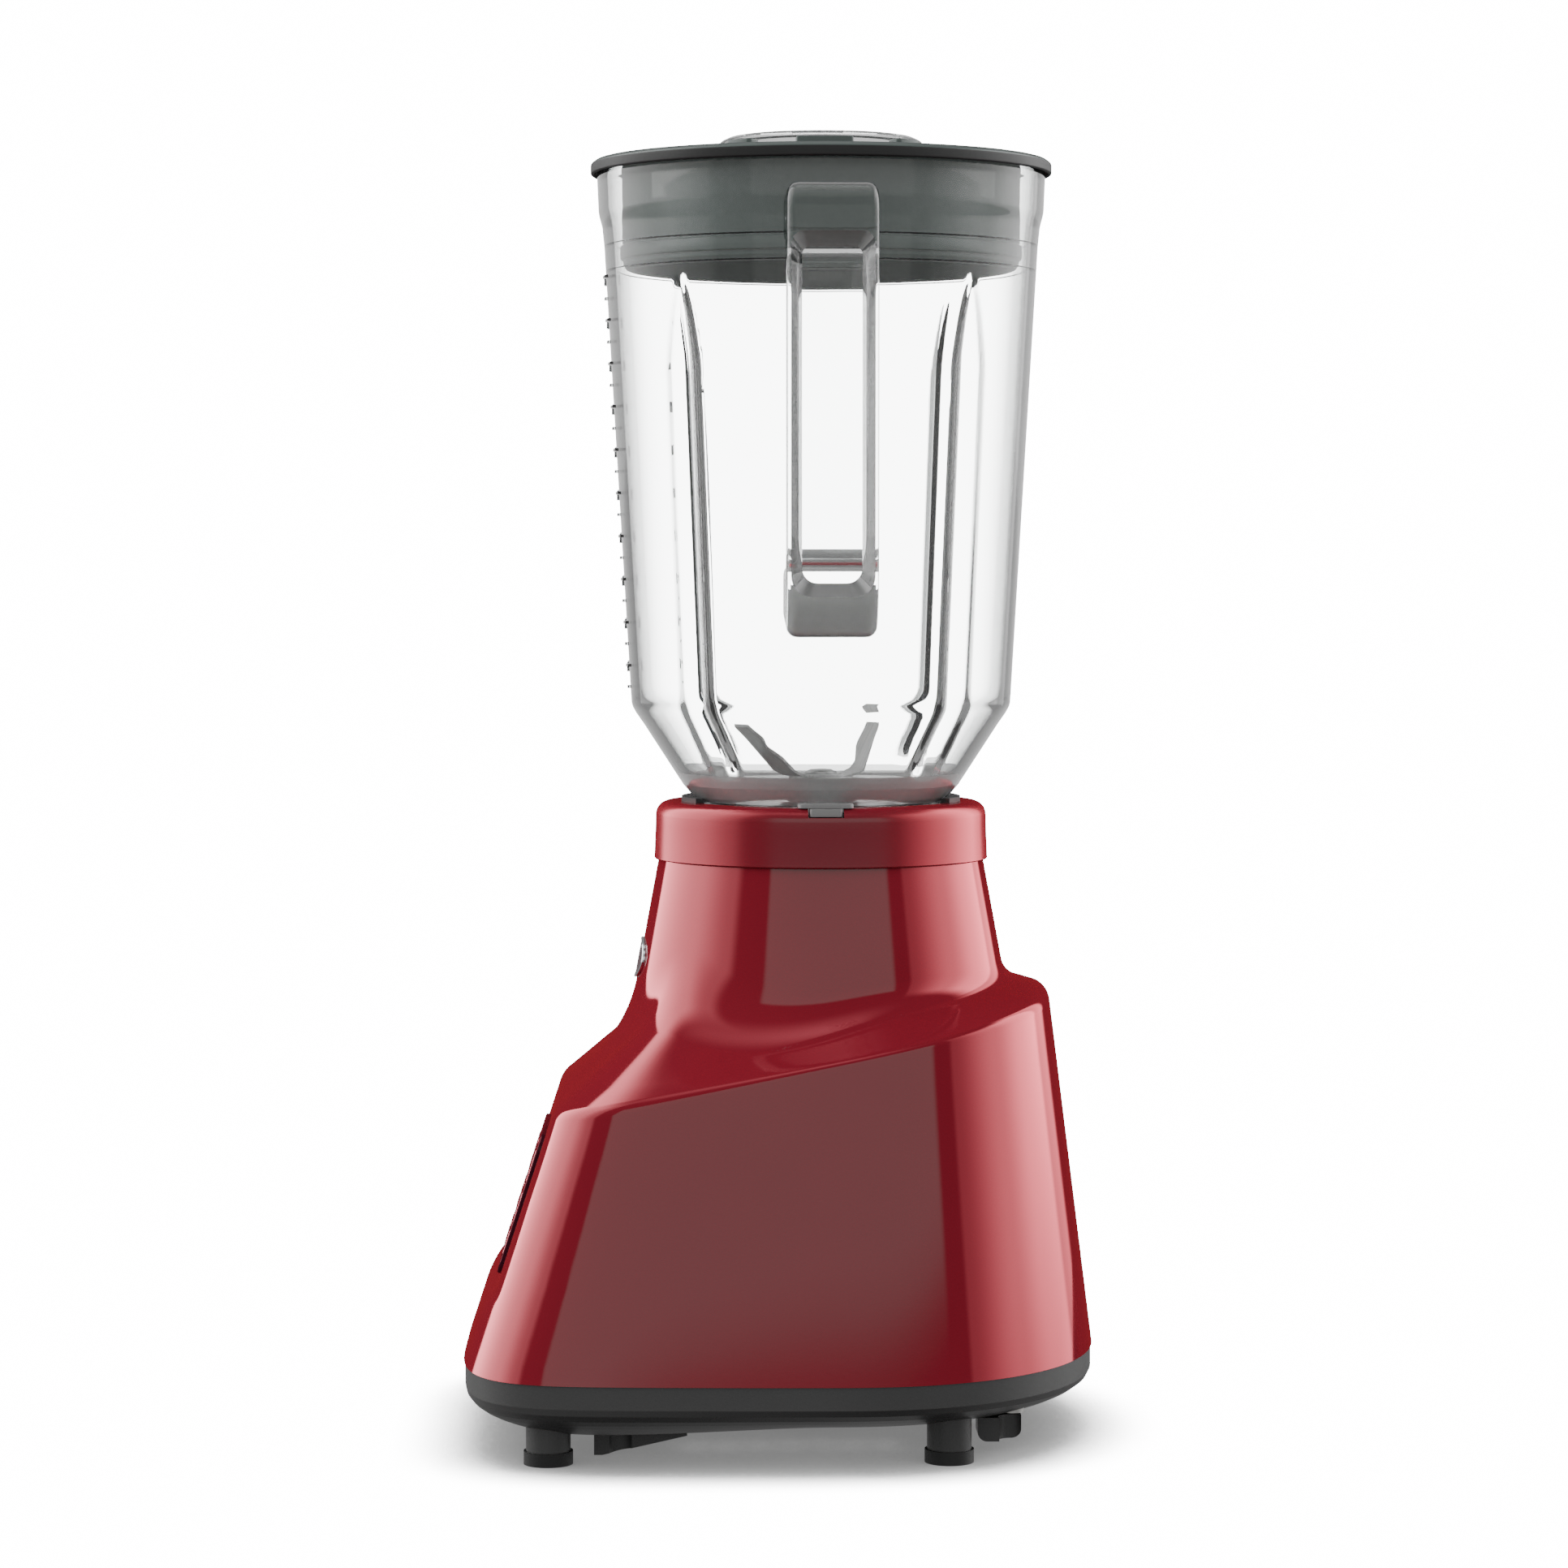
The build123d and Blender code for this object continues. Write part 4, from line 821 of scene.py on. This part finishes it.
# ------------------------------------------------------------------ lid and cap
def make_lid(m):
    outline = round_corners([
        (29.4, 391.0, 0.4), (29.4, 395.0, 0.5), (31.9, 395.0, 0.3), (31.9, 395.2, 0.1), (37.0, 394.8, 2.0),
        (52, 393.9, 20), (64, 393.2, 20), (69.8, 392.8, 1.2), (71.3, 391.7, 1.2), (71.3, 388.6, 0.9),
        (70.3, 388.4, 0.3), (70.2, 390.0, 0.1), (69.6, 390.1, 0.2), (62.0, 390.1, 0.4), (61.6, 389.0, 0.4),
        (61.5, 367.2, 0.2), (61.1, 366.8, 0.2), (61.1, 366.2, 0.2), (61.45, 365.8, 0.2), (61.2, 360.6, 1.0),
        (60.4, 359.2, 0.9), (59.0, 358.8, 0.8), (57.6, 359.4, 0.6), (58.6, 386.0, 1.5), (55.6, 391.0, 2),
        (35.5, 393.2, 2), (32.6, 393.0, 0.5), (32.2, 381.0, 0.4), (29.4, 381.0, 0.4)], 5)
    body = lathe("lid_disc", outline, m["lid"], 256)
    # the outer rim below the lid's flange takes the black material, a dark band round the lid's edge
    body.data.materials.append(m["black"])
    for face in body.data.polygons:
        at = (face.center - AXIS) / MM
        if at.z < 391.5 and math.hypot(at.x, at.y) > 69.5:
            face.material_index = 1
    parts = [body]
    for i in range(8):
        half = 5.0 if i % 2 else 9.0
        block = round_corners([(32.0, -half + 0.8, 0.8), (37.0, -half, 1.2), (37.0, half, 1.2),
                               (32.0, half - 0.8, 0.8)], 3)
        parts.append(prism("block", block, 4.1, m["lid"], on_axis_turned(393.4, 45 * i), 0.5))
    settle(join("lid_top", parts), "lid_unit", "lid_grey", "lid")
    band = round_corners([(61.0, 362.0, 0.3), (62.2, 362.0, 0.5), (62.2, 366.2, 0.5), (61.0, 366.2, 0.3)], 3)
    settle(lathe("seal_band", band, m["lid"], 192), "lid_unit", "seal_grey", "lid_seal")


def make_cap(m):
    outline = round_corners([
        (0, 398.2, 0), (0, 400.0, 0), (28.6, 400.0, 2.5), (31.5, 398.6, 1.4), (31.5, 396.2, 0.5), (29.0, 396.0, 0.6),
        (28.2, 372.2, 0.5), (27.2, 371.6, 0.4), (26.2, 372.0, 0.3), (26.4, 396.4, 1.5), (24.0, 398.2, 1.5)], 5)
    cap = lathe("measuring_cup", outline, m["clear_cap"], 192)
    settle(cap, "cap_unit", "clear_cap", "measuring_cap")


# ------------------------------------------------------------------ panel, buttons and badge
BUTTON_ROWS = ((12.6, 12.0, 23.0), (-1.0, 10.6, 20.5), (-13.0, 9.4, 18.0))


def make_panel(m):
    plate = prism("panel_plate", shield(0.0), 2.3, m["panel"], panel_place(0, 0, -1.25), 0.5)
    number = 0
    for v, tall, wide in BUTTON_ROWS:
        for side in (-1, 1):
            number += 1
            u = side * (wide + 3.4) / 2
            half, high = wide / 2, tall / 2

            def box(grow, radius):
                return round_corners([(-half - grow, -high - grow, radius), (half + grow, -high - grow, radius),
                                      (half + grow, high + grow, radius), (-half - grow, high + grow, radius)], 5)
            carve(plate, prism("cutter", box(0.25, 2.2), 5, m["panel"], panel_place(u, v, -2)))
            cap = prism("cap", box(-0.4, 1.7), 3.15, m["panel"], panel_place(u, v, -1.9), 0.3)
            rim = prism("rim", box(0.0, 2.0), 3.0, m["silver"], panel_place(u, v, -1.9), 0.05)
            button = join("button_%d" % number, [cap, rim])
            settle(button, "button_%d" % number, "button_dark", "push_button_%d" % number)
    settle(plate, "base", "panel_dark", "control_panel")


def oval_shell(name, profile, mat, capped):
    """Rings of an oval laid on the neck cone; profile holds (size, lift off the neck)."""
    verts, faces, rows = [], [], []
    n = 96
    for size, lift in profile:
        row = []
        for k in range(n):
            a = 2 * math.pi * k / n
            x, z = 12.5 * size * math.cos(a), 146.2 + 6.2 * size * math.sin(a)
            r = NECK_R + (NECK_Z - z) * NECK_SLOPE + lift
            row.append(len(verts))
            verts.append((x, DRIVE_Y - math.sqrt(r * r - x * x), z))
        rows.append(row)
    for a, b in zip(rows, rows[1:]):
        for k in range(n):
            k2 = (k + 1) % n
            faces.append((a[k], a[k2], b[k2], b[k]))
    if capped:
        faces.append(tuple(rows[0]))
    return mesh_object(name, verts, faces, mat, 30)


def make_badge(m):
    rim = [(1.0, 0.1), (1.0, 0.7), (0.975, 0.95), (0.945, 0.95), (0.925, 0.75), (0.91, 0.65)]
    border = oval_shell("border", rim, m["silver"], True)
    centre = oval_shell("field", [(size, 0.7) for size in (0.925, 0.6, 0.3, 0.001)], m["field"], False)
    settle(join("badge_oval", [border, centre]), "base", "badge_silver", "badge")


# ------------------------------------------------------------------ light and floor
def area(name, loc, target, size, power):
    data = bpy.data.lights.new(name, "AREA")
    data.shape = "RECTANGLE"
    data.size = data.size_y = size
    data.energy = power
    obj = bpy.data.objects.new(name, data)
    bpy.context.scene.collection.objects.link(obj)
    obj.location = loc
    obj.rotation_euler = (Vector(target) - Vector(loc)).to_track_quat("-Z", "Y").to_euler()
    return obj


def ramp_at(points, x):
    """Value at x of a list of (position, value) pairs, eased between them."""
    if x <= points[0][0]:
        return points[0][1]
    for (x0, y0), (x1, y1) in zip(points, points[1:]):
        if x <= x1:
            return y0 + (y1 - y0) * smooth_step((x - x0) / (x1 - x0))
    return points[-1][1]


def softbox(name, across, upward, colour, strength, receivers, radius=3.0):
    """Curved panel of light around the object, seen only in reflections. across and upward give its brightness
    at azimuths and elevations in degrees."""
    cols, rows = 72, 36
    az, el = (across[0][0], across[-1][0]), (upward[0][0], upward[-1][0])
    verts, glow = [], []
    for j in range(rows + 1):
        e = el[0] + (el[1] - el[0]) * j / rows
        for i in range(cols + 1):
            a = az[0] + (az[1] - az[0]) * i / cols
            ca, sa = math.cos(math.radians(a)), math.sin(math.radians(a))
            ce, se = math.cos(math.radians(e)), math.sin(math.radians(e))
            verts.append((radius * ca * ce, radius * sa * ce, 0.2 + radius * se))
            glow.append(ramp_at(across, a) * ramp_at(upward, e))
    faces = []
    for j in range(rows):
        for i in range(cols):
            k = j * (cols + 1) + i
            faces.append((k, k + cols + 1, k + cols + 2, k + 1))
    mesh = bpy.data.meshes.new(name)
    mesh.from_pydata(verts, [], faces)
    mesh.attributes.new("glow", "FLOAT", "POINT").data.foreach_set("value", glow)
    obj = bpy.data.objects.new(name, mesh)
    bpy.context.scene.collection.objects.link(obj)
    mat = bpy.data.materials.new(name)
    mat.use_nodes = True
    tree = mat.node_tree
    tree.nodes.clear()
    out = tree.nodes.new("ShaderNodeOutputMaterial")
    emit = tree.nodes.new("ShaderNodeEmission")
    emit.inputs["Color"].default_value = (*colour, 1)
    attr = tree.nodes.new("ShaderNodeAttribute")
    attr.attribute_name = "glow"
    tree.links.new(maths(tree, "MULTIPLY", attr.outputs["Fac"], strength), emit.inputs["Strength"])
    pass_on = tree.nodes.new("ShaderNodeBsdfTransparent")
    both = tree.nodes.new("ShaderNodeAddShader")
    tree.links.new(emit.outputs[0], both.inputs[0])
    tree.links.new(pass_on.outputs[0], both.inputs[1])
    tree.links.new(both.outputs[0], out.inputs["Surface"])
    mesh.materials.append(mat)
    obj.visible_camera = obj.visible_diffuse = obj.visible_transmission = obj.visible_shadow = False
    obj.light_linking.receiver_collection = receivers


def seen_straight(tree):
    """1 where a ray comes from the camera or only through clear parts, 0 after any bounce."""
    path = tree.nodes.new("ShaderNodeLightPath")
    bounces = maths(tree, "ADD", path.outputs["Diffuse Depth"], path.outputs["Glossy Depth"])
    either = maths(tree, "MAXIMUM", path.outputs["Is Camera Ray"], path.outputs["Is Transmission Ray"])
    return maths(tree, "MULTIPLY", maths(tree, "LESS_THAN", bounces, 0.5), either)


WHITE = 16.0                        # backdrop as the camera sees it
AMBIENT = 0.80                      # backdrop as it lights the object


def make_world():
    world = bpy.data.worlds.new("studio")
    bpy.context.scene.world = world
    world.use_nodes = True
    world.cycles_visibility.glossy = False
    tree = world.node_tree
    strength = tree.nodes.new("ShaderNodeMapRange")
    strength.inputs["To Min"].default_value = AMBIENT
    strength.inputs["To Max"].default_value = WHITE
    tree.links.new(seen_straight(tree), strength.inputs["Value"])
    back = tree.nodes["Background"]
    back.inputs["Color"].default_value = (1, 1, 1, 1)
    tree.links.new(strength.outputs["Result"], back.inputs["Strength"])


def make_floor():
    mesh = bpy.data.meshes.new("floor")
    half = 60.0
    mesh.from_pydata([(-half, -half, 0), (half, -half, 0), (half, half, 0), (-half, half, 0)], [], [(0, 1, 2, 3)])
    floor = bpy.data.objects.new("floor", mesh)
    bpy.context.scene.collection.objects.link(floor)
    mat, bsdf = new_material("floor_glow_painted_shadow")
    tree = mat.node_tree
    bsdf.inputs["Base Color"].default_value = (0.28, 0.28, 0.28, 1)
    bsdf.inputs["Roughness"].default_value = 0.8
    bsdf.inputs["Specular IOR Level"].default_value = 0.0
    # Seen straight, the floor glows white by emission with a painted contact shadow: ambient occlusion through a
    # curve dims the glow near the object.
    shade = tree.nodes.new("ShaderNodeAmbientOcclusion")
    shade.inputs["Distance"].default_value = 0.030
    shade.samples = 12
    painted_shadow_curve = tree.nodes.new("ShaderNodeFloatCurve")
    points = painted_shadow_curve.mapping.curves[0].points
    points[0].location = (0.0, 0.012)
    points[1].location = (1.0, 1.0)
    for x, y in ((0.3, 0.025), (0.55, 0.07), (0.78, 0.42), (0.92, 0.9)):
        points.new(x, y)
    painted_shadow_curve.mapping.update()
    tree.links.new(shade.outputs["AO"], painted_shadow_curve.inputs["Value"])
    emit = tree.nodes.new("ShaderNodeEmission")
    tree.links.new(maths(tree, "MULTIPLY", painted_shadow_curve.outputs["Value"], WHITE), emit.inputs["Strength"])
    mix = tree.nodes.new("ShaderNodeMixShader")
    tree.links.new(seen_straight(tree), mix.inputs["Fac"])
    tree.links.new(bsdf.outputs["BSDF"], mix.inputs[1])
    tree.links.new(emit.outputs[0], mix.inputs[2])
    out = next(n for n in tree.nodes if n.type == "OUTPUT_MATERIAL")
    tree.links.new(mix.outputs[0], out.inputs["Surface"])
    mesh.materials.append(mat)
    floor.visible_glossy = False


def make_studio():
    make_world()
    make_floor()
    gloss = bpy.data.collections.new("gloss_red")
    rest = bpy.data.collections.new("other_parts")
    glass = bpy.data.collections.new("clear_parts")
    for obj in bpy.context.scene.objects:
        if obj.type == "MESH" and not obj.name.startswith("floor"):
            red = any(mat and mat.name.startswith(("red", "panel")) for mat in obj.data.materials)
            (gloss if red else rest).objects.link(obj)
            if any(mat and mat.name.startswith("clear") for mat in obj.data.materials):
                glass.objects.link(obj)
    behind = [(132, 0), (142, 1), (214, 1), (224, 0)]
    left = [(-144, 0), (-142, 1), (-95, 0.85), (-64, 0.3), (-56, 0)]
    right = [(56, 0), (58.5, 0.12), (90, 0.6), (112, 1), (130, 1), (134, 0.45), (142, 0.45), (146, 0)]
    front = [(-38, 0), (-36, 1), (45, 1), (47, 0)]
    softbox("red_left", left, [(-8, 0), (0, 1), (50, 1), (68, 0)], (1.0, 0.27, 0.30), 14, gloss)
    softbox("red_right", right, [(-8, 0.5), (0, 1), (38, 1), (52, 0)], (1.0, 0.205, 0.24), 18, gloss)
    softbox("red_front", front, [(1, 0), (3.5, 1), (31, 1), (34, 0)], (0.36, 0.95, 0.86), 1.22, gloss)
    softbox("red_top", [(-150, 0), (-35, 1), (80, 0)], [(52, 0), (77, 1), (90, 0.8)], (1.0, 0.26, 0.30),
            3.5, gloss)
    softbox("red_fill", behind, [(-20, 1), (75, 1)], (1.0, 0.07, 0.09), 0.3, gloss, 3.6)
    softbox("soft_fill", [(-180, 1), (180, 1)], [(-60, 1), (89, 1)], (1, 1, 1), 0.3, rest, 3.6)
    softbox("clear_fill", [(-180, 1), (180, 1)], [(-60, 1), (89, 1)], (1, 1, 1), 1.0, glass, 3.7)
    softbox("soft_left", left, [(-8, 0), (0, 1), (50, 1), (68, 0)], (1, 1, 1), 3.5, rest, 3.3)
    softbox("soft_right", right, [(-8, 0.5), (0, 1), (38, 1), (52, 0)], (1, 1, 1), 4.5, rest, 3.3)
    softbox("soft_front", front, [(-8, 0), (0, 1), (28, 1), (34, 0)], (1, 1, 1), 0.8, rest, 3.3)
    softbox("soft_top", [(-180, 1), (180, 1)], [(55, 0), (68, 1), (89, 1)], (1, 1, 1), 1.0, rest, 3.4)
    for name, side, power in (("key_left", -2.6, 26), ("key_right", 2.6, 14)):
        area(name, (0.2, side, 1.2), (0, 0, 0.2), 1.6, power).visible_glossy = False


make_camera()
mats = make_materials()
dress_cad(mats)
make_housing(mats)
make_collar(mats)
make_nut(mats)
make_jar(mats)
make_marks(mats)
make_blades(mats)
make_lid(mats)
make_cap(mats)
make_panel(mats)
make_badge(mats)
make_studio()
